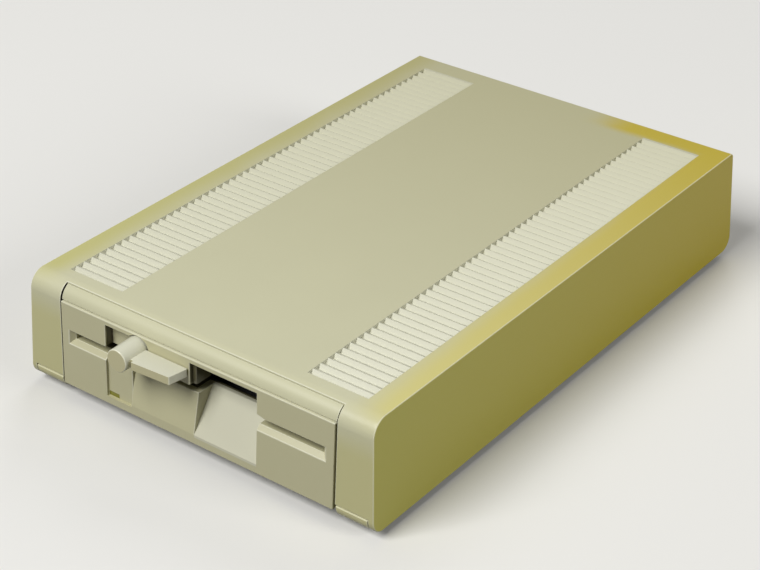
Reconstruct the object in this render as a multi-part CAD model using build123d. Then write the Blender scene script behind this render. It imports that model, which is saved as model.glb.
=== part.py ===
from build123d import *
import math
import os

# An external drive for 5.25-inch floppy disks: a plastic case with louvred top,
# a half-height drive mechanism with a quarter-turn lever, and a controller board.
# All sizes are in millimetres.  The model is drawn with X across, Y from the front
# towards the back and Z up, with zero at the middle of the front face's top edge
# and at the case's lower edge.  The last lines move it to the row's frame.

# ---------- case ----------
pillar_width = 17.4           # each front pillar, measured at the top
bar_height = 7.05             # front trim bar's lower edge to the case's top
connector_stand = 2.5         # connectors stand this much behind the top's rear edge
side_draft = 2.1              # each side is this much further out at the skirt
front_draft = 1.2
back_draft = 4.5
side_wall = 3.0
end_wall = 2.5
top_wall = 2.5
front_top_radius = 8.0
front_bottom_radius = 6.5
back_top_radius = 2.3
back_bottom_radius = 7.0
corner_radius = 0.5
seam_gap = 0.3                # between neighbouring mouldings
foot_height = 3.0
foot_radius = 7.0
foot_side = 14.2              # foot centre from the case's side
foot_inset = 32.0             # foot centre from the front and back faces

# ---------- louvres in the top ----------
louvre_pitch = 4.94
louvre_depth = 1.8
louvre_riser_lean = 1.75      # the riser's foot is this much further forward
louvre_ridge_sink = 0.05      # ridges lie this much below the top face
louvre_land = 0.25            # flat on each ridge
louvre_first = 3.5            # first ridge behind the strip's front end
louvre_front = 12.6           # plain border in front of and behind the strips
louvre_width = 30.3
louvre_border = 11.9          # from the case's side to the strip
louvre_floor = 1.2            # wall left under the grooves

# ---------- bezel ----------
bezel_side = 1.0              # bezel is this much wider than the drive on each side
bezel_low = 4.5
bezel_brow = 2.3              # strip above the recess
bezel_back = 14.5             # rear face of the bezel, where the frame starts
bezel_proud = 0.45            # stands in front of the pillars
bezel_wall = 2.2
bezel_gap = 0.8               # to each pillar
bezel_edge_radius = 0.4
ramp_foot = 9.0               # height where the sloping recesses begin
throat_above_deck = 5.2
throat_height = 4.6
throat_side = 0.825           # slot's clearance to a disk on each side
groove_chamfer = 2.1          # the slot's mouth widens by this much downwards
groove_side = 2.4             # and by this much at each end
recess_left = -48.3
recess_above_lever = 4.2
pocket_depth = 3.5            # pocket beside the knob, from the front plane
step_left = -1.0
step_depth = 1.3
ramp_one_left = -34.2
ramp_two_left = 1.1
ramp_two_right = 34.6
ramp_one_depth = 3.7
ramp_two_depth = 13.0
upper_recess_depth = 12.3
lamp_panel_sink = 1.2
lamp_panel_low = 8.2
lamp_window_width = 5.8
lamp_window_height = 2.2
lamp_window_side = 0.4        # window's left end from the recess's left wall
lamp_window_stand = 0.2       # window's lower edge above the panel's foot

# ---------- front trim bar ----------
bar_gap = 0.35                # above the bezel
bar_end_gap = 0.6             # to each pillar
bar_seam = 4.6                # where the bar meets the top cover, from the front plane
bar_sink = 0.5                # set back from the pillars
bar_wall = 2.5

# ---------- base tray ----------
tray_floor = 2.5
tray_wall = 2.0
tray_rim = 9.0
tray_front = 15.0
strip_top = 6.8               # top of the two front strips
strip_gap = 0.5               # under each pillar
strip_chamfer = 0.25
panel_half = 79.7
panel_top = 30.0
case_screw_side = 7.7         # screw centre from the case's side
case_screw_inset = 26.0       # from the front and back faces
case_boss_radius = 3.8
case_boss_top = 12.0
case_screw_length = 20.0

# ---------- drive ----------
drive_bottom = 5.0
disk_size = 133.35
disk_low_gap = 0.4            # a disk's jacket above the slot's lower edge
disk_front = 8.325            # a seated disk's front edge behind the front plane
drive_side = 6.325            # from a disk to the frame's outer face
frame_wall = 2.5
frame_wall_above_lever = 2.2
deck_height = 18.0            # deck's top above the drive's underside
deck_thickness = 3.0
deck_behind_post = 5.85       # deck's rear edge behind the heads' pivot
stepper_room = 26.0           # from the deck to the drive's rear end
mount_screw_side = 3.15       # mounting holes inside the frame's outer faces
mount_screw_front = 62.0
mount_screw_spacing_y = 79.2
guide_length = 66.0           # disk guides reach this far behind the spindle
spindle_radius = 3.0
spindle_boss_radius = 9.5
spindle_boss_height = 8.6     # below the deck's top
bearing_radius = 7.0
bearing_height = 4.0
bearing_step = 4.2            # from the deck's top to each bearing's lower face
rotor_radius = 24.0
rotor_drop = 13.4             # rotor's underside below the deck's top
rotor_height = 3.8
motor_board_drop = 17.0       # motor board's underside below the deck's top
motor_board_half = 40.0
coil_count = 9
coil_ring_radius = 15.5
coil_radius = 4.2
coil_height = 2.6
running_gap = 0.05
screw_radius = 1.5            # M3 shank
screw_head_radius = 3.0
screw_head_height = 1.2
screw_sink = 0.3              # heads lie this much inside the tray's underside
machine_screw_length = 8.0

# ---------- lever ----------
lever_x = -30.0
lever_above_throat = 6.5
knob_reach = 13.6             # in front of the front plane
knob_front_radius = 5.3
knob_base_radius = 5.55
knob_gap = 0.6                # knob to the bezel's round hole
paddle_reach = 28.4           # from the knob's axis to the paddle's end
paddle_end_slant = 1.8        # its front corner is this much nearer to the knob
paddle_top = 1.5              # above the knob's axis
paddle_thickness = 3.7
paddle_front = 12.1
paddle_end_front = 10.9
paddle_back = 1.2
paddle_root = 6.9
lever_shaft_radius = 2.0
lever_turn = 90.0
crank_pin_radius = 1.2
crank_thickness = 2.5

# ---------- clamp arm, drawn closed (level) ----------
clamp_lift = 4.2              # degrees that the open arm is raised
clamp_reach = 90.0            # from the spindle back to the pivot
clamp_pivot_above_throat = 1.2
clamp_pin_radius = 1.5
clamp_plate_drop = 3.0        # plate's underside below the pivot
clamp_plate = 1.8
clamp_front_reach = 10.7      # plate in front of the spindle
clamp_back_reach = 18.0
clamp_half = 25.0
clamp_bar_width = 8.0
clamp_tab_thickness = 2.0
clamp_flange_radius = 16.0
clamp_nose_radius = 14.0
clamp_nose_depth = 1.4        # nose below a disk's underside
clamp_nose_slack = 0.45

# ---------- head carriage, drawn at track zero ----------
track_zero_radius = 57.15
track_pitch = 25.4 / 48
track_count = 40
rail_x = 19.0
rail_drop = 5.0               # rail's axis below the deck
rail_radius = 2.5
screw_x = 34.0
screw_drop = 1.6              # lead screw's axis below the deck
lead_screw_radius = 2.5
lead = 6.35                   # carriage travel for one turn of the lead screw
head_lift = 5.0               # degrees that the upper head arm is raised when open
head_pivot_above_throat = 0.2
head_pivot_reach = 36.0       # from the heads back to the pivot
head_pin_radius = 1.2
head_above_disk = 1.8         # upper head's face above a disk's underside, when closed
carriage_drop = 10.0          # carriage's underside below the deck
head_radius = 4.0
stepper_radius = 13.0
stepper_length = 20.0

# ---------- controller ----------
board_thickness = 1.6
board_low = 8.0
board_side = 3.0              # controller board is this much wider than the drive
board_behind_drive = 14.0
board_length = 71.0
header_plug_height = 14.4     # header plug's top above the board
connector_overhang = 9.5      # connectors reach this far behind the board
chip_height = 4.0
chip_stand = 0.8              # packages stand this high above their board
chip_width = 15.0
logic_chip_height = 3.0
logic_chip_width = 14.0
small_chip_length = 19.0
small_chip_width = 7.0
logic_row = 22.0              # between rows on the drive's logic board
chip_row_one = 15.0           # rows on the controller board, from its front edge
chip_row_two = 36.0
chip_row_three = 50.0
processor_edge = 38.0         # processor's middle from the board's right edge
memory_edge = 56.0            # memory's middle from the board's left edge
capacitor_edge = 22.0         # large capacitor's middle from the board's left edge
sink_start = 11.0             # heat sink's front end, from the board's front edge
sink_length = 38.0
sink_height = 22.0
sink_edge = 6.0               # heat sink's plate from the board's side edge
sink_plate = 2.0
fin_count = 5
fin_thickness = 1.4
fin_reach = 5.0
socket_width = 36.0
socket_height = 12.0
socket_cavity_width = 31.5
socket_cavity_height = 8.2
socket_pin_radius = 0.9
socket_pin_pitch = 4.2
socket_pin_recess = 4.5       # pin tips below the socket's mouth
socket_depth = 14.0
socket_x = (14.0, 56.0)
jack_x = -40.0
jack_bore_radius = 3.2
rocker_x = -64.0
rocker_angle = 24.0
select_x = -18.0
select_travel = 2.4
panel_gap = 0.3

# ---------- widths that follow from a disk's width ----------
drive_half = disk_size / 2 + drive_side
bezel_width = 2 * (drive_half + bezel_side)
throat_half = disk_size / 2 + throat_side
lamp_window_left = recess_left + lamp_window_side
groove_half = throat_half + groove_side
case_width = bezel_width + 2 * (bezel_gap + pillar_width)
case_screw_x = case_width / 2 - case_screw_side
foot_x = case_width / 2 - foot_side
louvre_outer = case_width / 2 - louvre_border
louvre_inner = louvre_outer - louvre_width
board_half = drive_half + board_side

# ---------- heights that stack up from the drive's underside ----------
deck_top = drive_bottom + deck_height
deck_low = deck_top - deck_thickness
throat_low = deck_top + throat_above_deck
throat_high = throat_low + throat_height
groove_low = throat_low - groove_chamfer
disk_low = throat_low + disk_low_gap
lever_z = throat_high + lever_above_throat
recess_high = lever_z + recess_above_lever
bezel_high = recess_high + bezel_brow
lamp_window_low = lamp_panel_low + lamp_window_stand
bar_low = bezel_high + bar_gap
case_height = bar_low + bar_height
frame_wall_top = lever_z + frame_wall_above_lever
logic_low = frame_wall_top
logic_top = logic_low + board_thickness
clamp_pivot_z = throat_high + clamp_pivot_above_throat
clamp_plate_low = clamp_pivot_z - clamp_plate_drop
clamp_nose_low = disk_low - clamp_nose_depth
head_pivot_z = throat_high + head_pivot_above_throat
head_low = disk_low + head_above_disk
rail_z = deck_low - rail_drop
screw_z = deck_low - screw_drop
rotor_low = deck_top - rotor_drop
motor_board_low = deck_top - motor_board_drop
motor_board_top = motor_board_low + board_thickness
board_top = board_low + board_thickness

# ---------- depths that add up from the front ----------
spindle_y = disk_front + disk_size / 2
head_y = spindle_y + track_zero_radius
head_travel = track_pitch * (track_count - 1)
clamp_pivot_y = spindle_y + clamp_reach
clamp_plate_front = spindle_y - clamp_front_reach
clamp_plate_back = spindle_y + clamp_back_reach
deck_back = head_y + head_pivot_reach + deck_behind_post
drive_back = deck_back + stepper_room
board_front = drive_back + board_behind_drive
board_back = board_front + board_length
connector_back = board_back + connector_overhang
case_depth = connector_back - connector_stand
louvre_run = case_depth - 2 * louvre_front - louvre_first - louvre_land
louvre_count = int(louvre_run / louvre_pitch) + 1

clamp_arm_reach = clamp_pivot_y - clamp_plate_front - clamp_tab_thickness / 2
crank_radius = clamp_arm_reach * math.sin(math.radians(clamp_lift)) / math.sqrt(2)


def half_width(z):
    """Half of the case's width at a height."""
    return case_width / 2 + side_draft * (1 - z / case_height)


def front_at(z):
    """Where the case's front face lies at a height."""
    return -front_draft * (1 - z / case_height)


def back_at(z):
    """Where the case's back face lies at a height."""
    return case_depth + back_draft * (1 - z / case_height)


def box(x0, x1, y0, y1, z0, z1):
    """Block between two corners."""
    return Pos((x0 + x1) / 2, (y0 + y1) / 2, (z0 + z1) / 2) * Box(x1 - x0, y1 - y0, z1 - z0)


def rod(start, end, radius, end_radius=None):
    """Round bar between two points, or a cone when its end has another radius."""
    axis = Vector(*end) - Vector(*start)
    align = (Align.CENTER, Align.CENTER, Align.MIN)
    if end_radius is None:
        body = Cylinder(radius, axis.length, align=align)
    else:
        body = Cone(radius, end_radius, axis.length, align=align)
    return Plane(origin=start, z_dir=axis) * body


def profile_x(points, x0, x1):
    """Solid with an outline of (y, z) points between two x values."""
    outline = Plane.YZ * Polygon(*points, align=None)
    return Pos(x0, 0, 0) * extrude(outline, amount=x1 - x0, dir=(1, 0, 0))


def profile_y(points, y0, y1):
    """Solid with an outline of (x, z) points between two y values."""
    outline = Plane.XZ * Polygon(*points, align=None)
    return Pos(0, y0, 0) * extrude(outline, amount=y1 - y0, dir=(0, 1, 0))


def profile_z(points, z0, z1):
    """Solid with an outline of (x, y) points between two heights."""
    return Pos(0, 0, z0) * extrude(Polygon(*points, align=None), amount=z1 - z0, dir=(0, 0, 1))


def edge_at(solid, x, y, z):
    """The edge whose middle is nearest to a point."""
    return min(solid.edges(), key=lambda edge: (edge.center() - Vector(x, y, z)).length)


def case_block(side=0.0, front=0.0, back=0.0, low=0.0, high=case_height):
    """The case's drafted form between two heights, inset from its faces."""
    sections = []
    for z in (low, high):
        width = 2 * (half_width(z) - side)
        y0 = front_at(z) + front
        y1 = back_at(z) - back
        sections.append(Pos(0, (y0 + y1) / 2, z) * Rectangle(width, y1 - y0))
    return loft(sections)


def round_ends(block, inset, high):
    """Round the long front and back edges of a case block."""
    edges = (
        (front_at(high), high, front_top_radius),
        (back_at(high), high, back_top_radius),
    )
    for y, z, radius in edges:
        block = fillet(edge_at(block, 0, y, z), max(radius - inset, 0.5))
    return block


def case_outer():
    """Outer form of the whole case, with every edge rounded."""
    block = round_ends(case_block(), 0, case_height)
    block = fillet(edge_at(block, 0, front_at(0), 0), front_bottom_radius)
    block = fillet(edge_at(block, 0, back_at(0), 0), back_bottom_radius)
    for side in (0, -1):
        face = block.faces().sort_by(Axis.X)[side]
        block = fillet(face.edges(), corner_radius)
    return block


def both_sides(solid):
    """A solid and its mirror image across the middle plane."""
    return [solid, mirror(solid, about=Plane.YZ)]


def case_screw_places():
    """Centres of the four case screws."""
    for x in (-case_screw_x, case_screw_x):
        for y in (case_screw_inset, case_depth - case_screw_inset):
            yield x, y


def louvre_cutter(x0, x1):
    """Saw-tooth cutter for one louvre strip: each tooth slopes down to a riser."""
    ridge = case_height - louvre_ridge_sink
    points = [(louvre_front, case_height + 1), (louvre_front, ridge)]
    for index in range(louvre_count):
        riser = louvre_front + louvre_first + index * louvre_pitch
        points.append((riser - louvre_riser_lean, case_height - louvre_depth))
        points.append((riser, ridge))
        points.append((riser + louvre_land, ridge))
    points.append((case_depth - louvre_front, ridge))
    points.append((case_depth - louvre_front, case_height + 1))
    return profile_x(points, x0, x1)


def make_top_cover(outer):
    """Top, sides, back and front pillars in one moulding."""
    inner = case_block(side_wall, end_wall, end_wall, -1, case_height - top_wall)
    inner = round_ends(inner, top_wall, case_height - top_wall)
    opening_half = bezel_width / 2 + bezel_gap
    under = case_height - top_wall
    pad = box(louvre_inner - 1, louvre_outer + 1, louvre_front, case_depth - louvre_front,
              case_height - louvre_depth - louvre_floor, under + 0.5)
    cover = outer - inner + both_sides(pad)
    strip_outer = half_width(0) - side_wall
    rear_half = panel_half + seam_gap
    cuts = [
        box(-opening_half, opening_half, -20, bar_seam + seam_gap, -1, case_height + 1),
        box(-strip_outer, strip_outer, -20, tray_front, -1, strip_top + strip_gap),
        box(-rear_half, rear_half, case_depth - 10, case_depth + 20, -1, panel_top + seam_gap),
        louvre_cutter(louvre_inner, louvre_outer),
        louvre_cutter(-louvre_outer, -louvre_inner),
    ]
    cover = cover - cuts
    for x, y in case_screw_places():
        post = rod((x, y, case_boss_top), (x, y, under), case_boss_radius)
        cover = cover + post - rod((x, y, 0), (x, y, case_screw_length + 4), screw_radius)
    rib_low = strip_top + strip_gap
    rib = box(opening_half, opening_half + 2, 1, 12, rib_low, under - 2)
    return cover + both_sides(rib)


def make_front_trim_bar(outer):
    """Curved bar between the pillars, with two hooks under the cover."""
    half = bezel_width / 2 + bezel_gap - bar_end_gap
    shell = case_block(0, bar_sink, 0, 0, case_height - seam_gap)
    shell = round_ends(shell, seam_gap, case_height - seam_gap)
    hollow = case_block(-5, bar_sink + bar_wall, 0, 0, case_height - seam_gap - bar_wall)
    hollow = round_ends(hollow, bar_wall, case_height - seam_gap - bar_wall)
    bar = (shell - hollow) & box(-half, half, -20, bar_seam, bar_low, case_height + 1)
    under = case_height - top_wall
    for x in (-45, 45):
        web = box(x - 6, x + 6, 2.6, 11, under - 3.5, under - 1.4)
        hook = box(x - 6, x + 6, 9.5, 11, under - 3.5, under)
        bar = bar + web + hook
    return bar


def make_base_tray(outer):
    """Floor with front strips, rim, bosses and the rear connector panel."""
    side = side_wall + seam_gap
    end = end_wall + seam_gap
    pan = case_block(side, tray_front, end, 0, tray_rim)
    pan = pan & outer
    pan = pan - case_block(side + tray_wall, tray_front + tray_wall, end + tray_wall,
                           tray_floor, tray_rim + 1)
    pan = pan - box(-75, 75, -5, 25, tray_floor, tray_rim + 1)
    bezel_half = bezel_width / 2 + bezel_gap + seam_gap
    strip_outer = half_width(0) - side
    strip = outer & box(bezel_half, strip_outer, -10, tray_front + 2, 0, strip_top)
    strip = chamfer(edge_at(strip, (bezel_half + strip_outer) / 2, front_at(strip_top),
                            strip_top), strip_chamfer)
    strip = strip - box(bezel_half + tray_wall, strip_outer - tray_wall,
                        front_at(0) + end_wall, tray_front + 3, tray_floor, strip_top + 1)
    pan = pan - box(-bezel_half, bezel_half, -10, tray_front, -1, tray_rim)
    tray = pan + both_sides(strip)
    panel = outer & box(-panel_half, panel_half, case_depth - 8, case_depth + 20, 0, panel_top)
    panel = panel - case_block(-5, 0, end_wall, tray_floor, panel_top + 1)
    tray = tray - box(-panel_half, panel_half, case_depth - 2 - end_wall, case_depth + 9,
                      tray_floor, tray_rim + 1)
    tray = tray + panel
    for x, y in case_screw_places():
        tray = tray + rod((x, y, 0), (x, y, case_boss_top), case_boss_radius)
        tray = tray - rod((x, y, -1), (x, y, case_boss_top + 1), screw_radius + 0.2)
        tray = tray - rod((x, y, -1), (x, y, screw_head_height + 0.3), screw_head_radius + 0.3)
    for x, y in mount_screw_places():
        tray = tray + rod((x, y, 0), (x, y, drive_bottom), 5)
        tray = tray - rod((x, y, -1), (x, y, drive_bottom + 1), screw_radius + 0.2)
        tray = tray - rod((x, y, -1), (x, y, screw_head_height + 0.3), screw_head_radius + 0.3)
    for x, y in board_screw_places():
        tray = tray + rod((x, y, 0), (x, y, board_low), 3.5)
        tray = tray - rod((x, y, tray_floor), (x, y, board_low + 1), screw_radius)
    return tray - panel_cuts()


def mount_screw_places():
    """Centres of the four screws that hold the drive to the tray."""
    for x in (mount_screw_side - drive_half, drive_half - mount_screw_side):
        for y in (mount_screw_front, mount_screw_front + mount_screw_spacing_y):
            yield x, y


def board_screw_places():
    """Centres of the controller board's four screws."""
    for x in (-board_half + 4, board_half - 4):
        for y in (board_front + 4, board_back - 16):
            yield x, y


def rear_bodies():
    """Outer boxes of the rear connectors, as (x0, x1, front, height)."""
    sizes = [(x - socket_width / 2, x + socket_width / 2, 22.5, socket_height) for x in socket_x]
    sizes.append((jack_x - 7, jack_x + 7, 15.0, 11.0))
    sizes.append((rocker_x - 10.5, rocker_x + 10.5, 18.0, 13.4))
    sizes.append((select_x - 6.5, select_x + 6.5, 12.5, 8.0))
    return sizes


def panel_cuts():
    """Openings in the rear panel, one for each connector."""
    cuts = []
    for x0, x1, _, height in rear_bodies():
        cuts.append(box(x0 - panel_gap, x1 + panel_gap, case_depth - 6, case_depth + 9,
                        board_top - panel_gap, board_top + height + panel_gap))
    return cuts


def make_feet():
    """Four round feet under the tray."""
    feet = []
    for x in (-foot_x, foot_x):
        for y in (foot_inset, case_depth - foot_inset):
            foot = rod((x, y, -foot_height), (x, y, 0), foot_radius - 0.8, foot_radius)
            feet.append(fillet(foot.edges().sort_by(Axis.Z)[0], 0.8))
    return feet


def screws(places, head_z, length, up=1):
    """Pan-head screws, one for each place, whose shanks point up or down."""
    made = []
    for x, y in places:
        head = rod((x, y, head_z), (x, y, head_z + up * screw_head_height), screw_head_radius)
        slot = box(x - 0.4, x + 0.4, y - 2, y + 2, head_z - 0.6, head_z + 0.6)
        shank = rod((x, y, head_z), (x, y, head_z + up * length), screw_radius)
        made.append(head + shank - slot)
    return made


def make_machine_screws():
    """Eight equal screws: four hold the drive, four the controller board."""
    made = screws(mount_screw_places(), screw_sink, machine_screw_length)
    top = board_top + screw_head_height
    return made + screws(board_screw_places(), top, machine_screw_length, -1)


# ---------------------------------------------------------------- bezel

def bezel_face(z):
    """Where the bezel's front face lies at a height."""
    return front_at(z) - bezel_proud


def ramp_cut(x0, x1, depth):
    """Sloping recess below the slot."""
    foot = bezel_face(ramp_foot)
    points = [(-8, ramp_foot), (foot, ramp_foot), (foot + depth, throat_low),
              (foot + depth, throat_high), (-8, throat_high)]
    return profile_x(points, x0, x1)


def ramp_hollow(x0, x1, depth):
    """Space behind a sloping recess, parallel to it."""
    foot = bezel_face(ramp_foot) + bezel_wall + 0.2
    low = bezel_low + bezel_wall
    high = throat_low - 1.8
    slope = depth / (throat_low - ramp_foot)
    points = [(bezel_back + 1, low), (foot, low), (foot, ramp_foot),
              (foot + slope * (high - ramp_foot), high), (bezel_back + 1, high)]
    return profile_x(points, x0 + bezel_wall, x1 - bezel_wall)


def make_bezel():
    """Drive front with slot, recesses, pocket and lamp panel."""
    half = bezel_width / 2
    side = [(bezel_face(bezel_low), bezel_low), (bezel_face(bezel_high), bezel_high),
            (bezel_back, bezel_high), (bezel_back, bezel_low)]
    blank = profile_x(side, -half, half)
    front = blank.faces().sort_by(Axis.Y)[0]
    blank = fillet(front.edges(), bezel_edge_radius)
    hollow = box(-half + bezel_wall, half - bezel_wall, bezel_wall, bezel_back + 1,
                 bezel_low + bezel_wall, bezel_high - bezel_wall)
    tunnel = box(-throat_half - 2, throat_half + 2, 0, bezel_back,
                 throat_low - 1.8, throat_high + 1.8)
    block = box(recess_left - 2, ramp_two_right + 2, 0, bezel_back,
                bezel_low, bezel_high)
    bezel = blank - (hollow - tunnel - block)
    face_mid = bezel_face(throat_low)
    lip = throat_low - groove_low
    groove = profile_x([(face_mid - 2, groove_low - 2), (face_mid + lip, throat_low),
                        (face_mid + lip, throat_high), (face_mid - 2, throat_high)],
                       -groove_half - 3, groove_half + 3)
    plan = [(-groove_half - 2, face_mid - 2), (-throat_half, face_mid + lip + 0.3),
            (throat_half, face_mid + lip + 0.3), (groove_half + 2, face_mid - 2)]
    groove = groove & profile_z(plan, groove_low - 3, throat_high)
    corner = profile_y([(ramp_two_right, throat_high), (ramp_two_right, throat_high + 1),
                        (ramp_two_right + 3.8, throat_high)], -8, face_mid + lip)
    knob_hole = knob_base_radius + knob_gap
    sink = lamp_panel_sink
    foot = lamp_panel_low
    panel = [(-8, foot), (bezel_face(foot) + sink, foot),
             (bezel_face(throat_low) + sink, throat_low), (-8, throat_low)]
    lamp_low = lamp_window_low
    lamp_high = lamp_low + lamp_window_height
    lamp_right = lamp_window_left + lamp_window_width
    cuts = [
        box(-throat_half, throat_half, -8, bezel_back + 1, throat_low, throat_high),
        groove,
        corner,
        box(recess_left, lever_x, -8, pocket_depth, throat_high - 0.5, recess_high),
        box(step_left, ramp_two_left, -8, step_depth, throat_high - 0.5, recess_high),
        box(ramp_two_left, ramp_two_right, -8, upper_recess_depth, throat_high - 0.5,
            recess_high),
        ramp_cut(ramp_one_left, ramp_two_left, ramp_one_depth),
        ramp_cut(ramp_two_left, ramp_two_right, ramp_two_depth),
        profile_x(panel, recess_left, ramp_one_left),
        box(lamp_window_left, lamp_right, -8, 12, lamp_low, lamp_high),
        rod((lever_x, -8, lever_z), (lever_x, 7, lever_z), knob_hole),
        box(recess_left, step_left - bezel_wall, pocket_depth + 2, bezel_back + 1,
            throat_high + 1.8, bezel_high - bezel_wall),
        ramp_hollow(ramp_one_left - bezel_wall, ramp_two_left, ramp_one_depth),
        ramp_hollow(ramp_two_left, ramp_two_right + bezel_wall, ramp_two_depth),
        box(recess_left, ramp_one_left - bezel_wall, 4.2, bezel_back + 1,
            bezel_low + bezel_wall, throat_low - 1.8),
    ]
    return bezel - cuts


def make_lamp_window():
    """Small clear window in the bezel's lamp panel."""
    gap = 0.05
    face = bezel_face(lamp_window_low + lamp_window_height) + lamp_panel_sink + 0.1
    return box(lamp_window_left + gap, lamp_window_left + lamp_window_width - gap, face, 4.2,
               lamp_window_low + gap, lamp_window_low + lamp_window_height - gap)


def make_lamp():
    """Lamp behind the window, with its flange."""
    x = lamp_window_left + lamp_window_width / 2
    z = lamp_window_low + lamp_window_height / 2
    body = rod((x, 4.2, z), (x, 9, z), 1.5)
    return body + rod((x, 8, z), (x, 9, z), 1.9)


# ---------------------------------------------------------------- lever

def make_lever():
    """Knob and paddle in one moulding."""
    base_y = -paddle_back + 0.6
    knob = rod((lever_x, -knob_reach, lever_z), (lever_x, base_y, lever_z),
               knob_front_radius, knob_base_radius)
    knob = fillet(knob.edges().sort_by(Axis.Y)[0], 0.5)
    knob = knob + rod((lever_x, base_y, lever_z), (lever_x, 4.5, lever_z), knob_base_radius)
    top = lever_z + paddle_top
    plan = [(lever_x, -paddle_front + 1.4), (lever_x + paddle_root, -paddle_front + 1.4),
            (lever_x + paddle_root, -paddle_front),
            (lever_x + paddle_reach - paddle_end_slant, -paddle_end_front),
            (lever_x + paddle_reach, -paddle_back), (lever_x, -paddle_back)]
    paddle = profile_z(plan, top - paddle_thickness, top)
    rim = [edge for edge in paddle.edges().filter_by(Axis.Z) if edge.center().X > lever_x + 8]
    paddle = fillet(rim, 0.6)
    bore = rod((lever_x, -2, lever_z), (lever_x, 5, lever_z), lever_shaft_radius)
    return knob + paddle - bore


def make_lever_shaft():
    """Steel shaft from the knob back to the crank."""
    back = clamp_plate_front - 1.3
    return rod((lever_x, -2, lever_z), (lever_x, back, lever_z), lever_shaft_radius)


def make_crank():
    """Crank on the shaft's end, whose pin lifts and lowers the clamp arm."""
    y1 = clamp_plate_front - 1.3
    y0 = y1 - crank_thickness
    reach = crank_radius / math.sqrt(2)
    pin_x = lever_x + reach
    pin_z = lever_z + reach
    hub = rod((lever_x, y0, lever_z), (lever_x, y1, lever_z), lever_shaft_radius + 1.6)
    end = rod((pin_x, y0, pin_z), (pin_x, y1, pin_z), crank_pin_radius + 1.0)
    pin = rod((pin_x, y0, pin_z), (pin_x, y1 + 5, pin_z), crank_pin_radius)
    web = Pos((lever_x + pin_x) / 2, (y0 + y1) / 2, (lever_z + pin_z) / 2)
    web = web * Rot(0, -45, 0) * Box(crank_radius, y1 - y0, 2 * crank_pin_radius + 2)
    bore = rod((lever_x, y0 - 1, lever_z), (lever_x, y1 + 1, lever_z), lever_shaft_radius)
    return hub + end + web + pin - bore


def open_clamp(solid):
    """Raise a closed clamp part about the arm's pivot."""
    pivot = Axis((0, clamp_pivot_y, clamp_pivot_z), (1, 0, 0))
    return solid.rotate(pivot, -clamp_lift)


def make_clamp_arm():
    """Stamped arm with two side bars, hub bridge and the crank's slotted tab."""
    low = clamp_plate_low
    high = low + clamp_plate
    arm = box(-clamp_half, clamp_half, clamp_plate_front, clamp_plate_back, low, high)
    inner = clamp_half - clamp_bar_width
    bar = box(inner, clamp_half, clamp_plate_back - 1, clamp_pivot_y - 4, low, high)
    ear = box(clamp_half - 2.5, clamp_half, clamp_pivot_y - 8, clamp_pivot_y + 4,
              low, clamp_pivot_z + 3.5)
    leg = box(clamp_half - 4, clamp_half, spindle_y - 6, spindle_y + 6, high, high + 4)
    arm = arm + both_sides(bar) + both_sides(ear) + both_sides(leg)
    bridge_low = high + 2.2
    arm = arm + box(-clamp_half, clamp_half, spindle_y - 6, spindle_y + 6,
                    bridge_low, bridge_low + clamp_plate)
    arm = arm - rod((0, spindle_y, low - 1), (0, spindle_y, high), clamp_flange_radius + 0.8)
    arm = arm - rod((0, spindle_y, high), (0, spindle_y, high + 9),
                    lever_shaft_radius + running_gap)
    arm = arm - rod((-40, clamp_pivot_y, clamp_pivot_z), (40, clamp_pivot_y, clamp_pivot_z),
                    clamp_pin_radius + running_gap)
    reach = crank_radius / math.sqrt(2)
    slot_z = lever_z - reach
    margin = crank_pin_radius + clamp_nose_slack
    slot_left = lever_x + reach - margin
    slot_right = lever_x + crank_radius + margin
    tab = box(slot_left - 2, -clamp_half + 4, clamp_plate_front,
              clamp_plate_front + clamp_tab_thickness, low, slot_z + margin + 2)
    slot = box(slot_left, slot_right, clamp_plate_front - 1, clamp_plate_front + 4,
               slot_z - margin, slot_z + margin)
    return arm + tab - slot


def make_clamp_hub():
    """Expanding hub that presses a disk onto the spindle."""
    high = clamp_plate_low + clamp_plate
    flange_low = clamp_nose_low + 3.1
    hub = rod((0, spindle_y, clamp_nose_low), (0, spindle_y, flange_low),
              clamp_nose_radius - 0.8, clamp_nose_radius)
    hub = hub + rod((0, spindle_y, flange_low), (0, spindle_y, flange_low + 1.8),
                    clamp_flange_radius)
    hub = hub + rod((0, spindle_y, flange_low + 1.8), (0, spindle_y, high + 2.0), 5)
    return hub + rod((0, spindle_y, high), (0, spindle_y, high + 6.5), lever_shaft_radius)


def make_hub_cap():
    """Snap cap above the bridge that keeps the hub in the arm."""
    low = clamp_plate_low + 2 * clamp_plate + 2.2 + 0.2
    cap = rod((0, spindle_y, low), (0, spindle_y, low + 1.8), 3.8)
    return cap - rod((0, spindle_y, low - 1), (0, spindle_y, low + 3), lever_shaft_radius)


def make_clamp_pins():
    """Two short pins on which the clamp arm turns."""
    pins = []
    for side in (-1, 1):
        pins.append(rod((side * 21.5, clamp_pivot_y, clamp_pivot_z),
                        (side * 29.5, clamp_pivot_y, clamp_pivot_z), clamp_pin_radius))
    return pins


# ---------------------------------------------------------------- drive frame

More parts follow.
